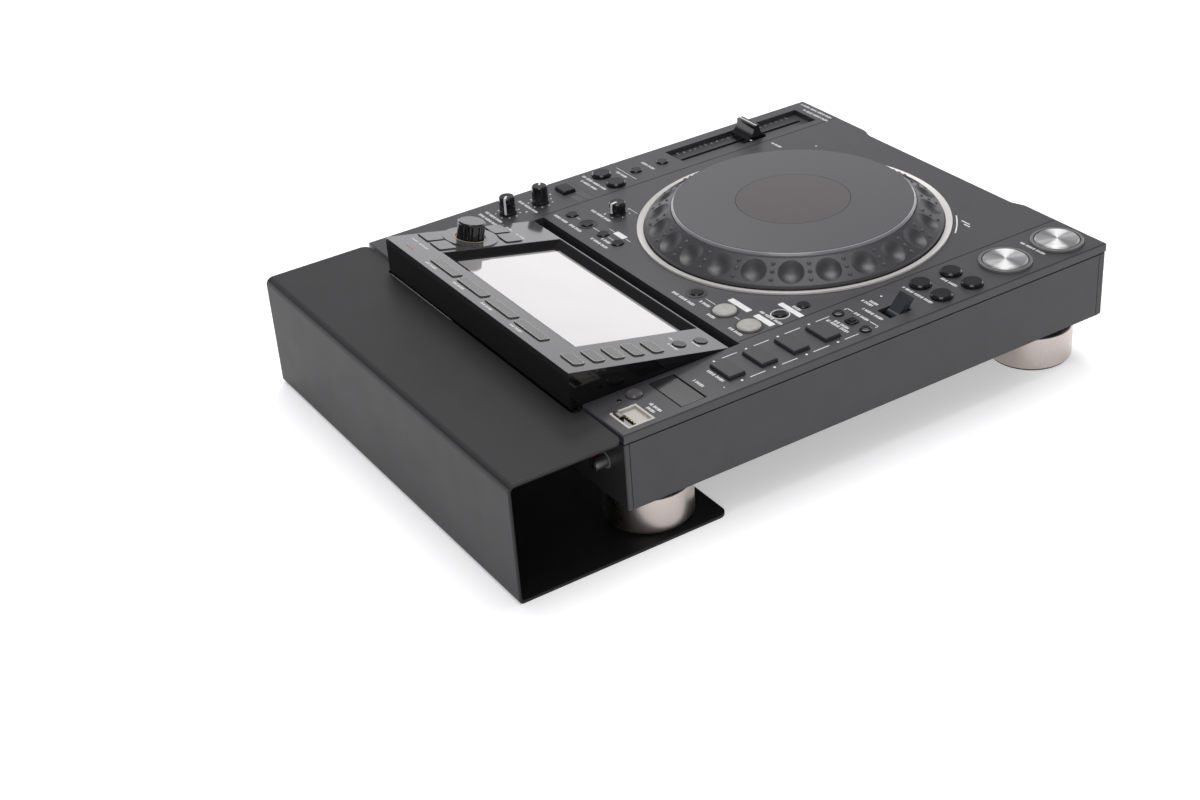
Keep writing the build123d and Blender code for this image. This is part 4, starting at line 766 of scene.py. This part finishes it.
def studio_floor(half=8.0, glow=0.38):
    """Pale floor that glows a little where it is seen, and still takes the shadow."""
    data = bpy.data.meshes.new("floor")
    maker = bmesh.new()
    bmesh.ops.create_grid(maker, x_segments=2, y_segments=2, size=half)
    maker.to_mesh(data)
    maker.free()
    floor = bpy.data.objects.new("floor", data)
    bpy.context.scene.collection.objects.link(floor)
    data.materials.append(floor_mat)
    path = new_node(floor_mat, "ShaderNodeLightPath")
    either = new_node(floor_mat, "ShaderNodeMath", "MAXIMUM")
    any_view = new_node(floor_mat, "ShaderNodeMath", "MAXIMUM")
    strength = new_node(floor_mat, "ShaderNodeMath", "MULTIPLY")
    strength.inputs[1].default_value = glow
    wire(floor_mat, path.outputs["Is Camera Ray"], either.inputs[0])
    wire(floor_mat, path.outputs["Is Glossy Ray"], either.inputs[1])
    wire(floor_mat, either.outputs["Value"], any_view.inputs[0])
    wire(floor_mat, path.outputs["Is Transmission Ray"], any_view.inputs[1])
    wire(floor_mat, any_view.outputs["Value"], strength.inputs[0])
    shader = shader_of(floor_mat)
    shader.inputs["Emission Color"].default_value = (1, 1, 1, 1)
    wire(floor_mat, strength.outputs["Value"], shader.inputs["Emission Strength"])


def hang(name, lamp, towards, place=(0, 0, 0)):
    """Hang a lamp at a place and point it along a direction."""
    thing = bpy.data.objects.new(name, lamp)
    bpy.context.scene.collection.objects.link(thing)
    thing.location = place
    thing.rotation_euler = Vector(towards).to_track_quat("-Z", "Y").to_euler()


def soft_light(name, place, aim, size, power):
    """Round area lamp at a place, pointed at another."""
    lamp = bpy.data.lights.new(name, "AREA")
    lamp.shape = "DISK"
    lamp.size = size
    lamp.energy = power
    hang(name, lamp, Vector(aim) - Vector(place), place)


def overhead_light(strength=2.0, spread=42, towards=(-0.22, 0.2, -1.0)):
    """Broad soft light from above, a little from the front right."""
    lamp = bpy.data.lights.new("overhead", "SUN")
    lamp.energy = strength
    lamp.angle = radians(spread)
    hang("overhead", lamp, towards)


def backdrop(near_floor=1.4, overhead=0.15, start=0.2, stop=0.5):
    """Studio backdrop, brightest at the horizon and dark overhead."""
    world = bpy.data.worlds.new("studio")
    world.use_nodes = True
    nodes, links = world.node_tree.nodes, world.node_tree.links
    where = nodes.new("ShaderNodeTexCoord")
    parts = nodes.new("ShaderNodeSeparateXYZ")
    rise = nodes.new("ShaderNodeMapRange")
    rise.interpolation_type = "SMOOTHSTEP"
    rise.inputs["From Min"].default_value = start
    rise.inputs["From Max"].default_value = stop
    rise.inputs["To Min"].default_value = near_floor
    rise.inputs["To Max"].default_value = overhead
    links.new(where.outputs["Generated"], parts.inputs["Vector"])
    links.new(parts.outputs["Z"], rise.inputs["Value"])
    links.new(rise.outputs["Result"], nodes["Background"].inputs["Strength"])
    nodes["Background"].inputs["Color"].default_value = (0.97, 0.97, 1.0, 1)
    bpy.context.scene.world = world


def photograph_camera():
    """Camera solved from the photograph, which is 1200 pixels wide."""
    focal_pixels, photo_width, sensor = 1933.56, 1200, 36.0
    heading, pitch, roll = -0.529766, -0.539361, -0.077852
    ahead = Vector((cos(pitch) * cos(heading), cos(pitch) * sin(heading), sin(pitch)))
    level_side = ahead.cross(Vector((0, 0, 1))).normalized()
    upright = level_side.cross(ahead)
    side = cos(roll) * level_side + sin(roll) * upright
    above = -sin(roll) * level_side + cos(roll) * upright
    turn = Matrix((side, above, -ahead)).transposed().to_4x4()
    camera = bpy.data.objects.new("camera", bpy.data.cameras.new("camera"))
    bpy.context.scene.collection.objects.link(camera)
    camera.data.sensor_width = sensor
    camera.data.lens = focal_pixels / photo_width * sensor
    camera.matrix_world = Matrix.Translation(spot(-953.42, 665.90, 662.24)) @ turn
    bpy.context.scene.camera = camera


studio_floor()
soft_light("fill_light", (-1.7, 1.2, 1.2), (0, 0, 0.05), 1.8, 5)
soft_light("key_light", (1.3, -0.8, 1.4), (0, 0, 0.08), 0.5, 2.5)
soft_light("top_light", (-0.6, 0.45, 1.7), (0, 0, 0.08), 0.9, 4)
overhead_light()
backdrop()
photograph_camera()
bpy.context.scene.view_settings.view_transform = "Standard"
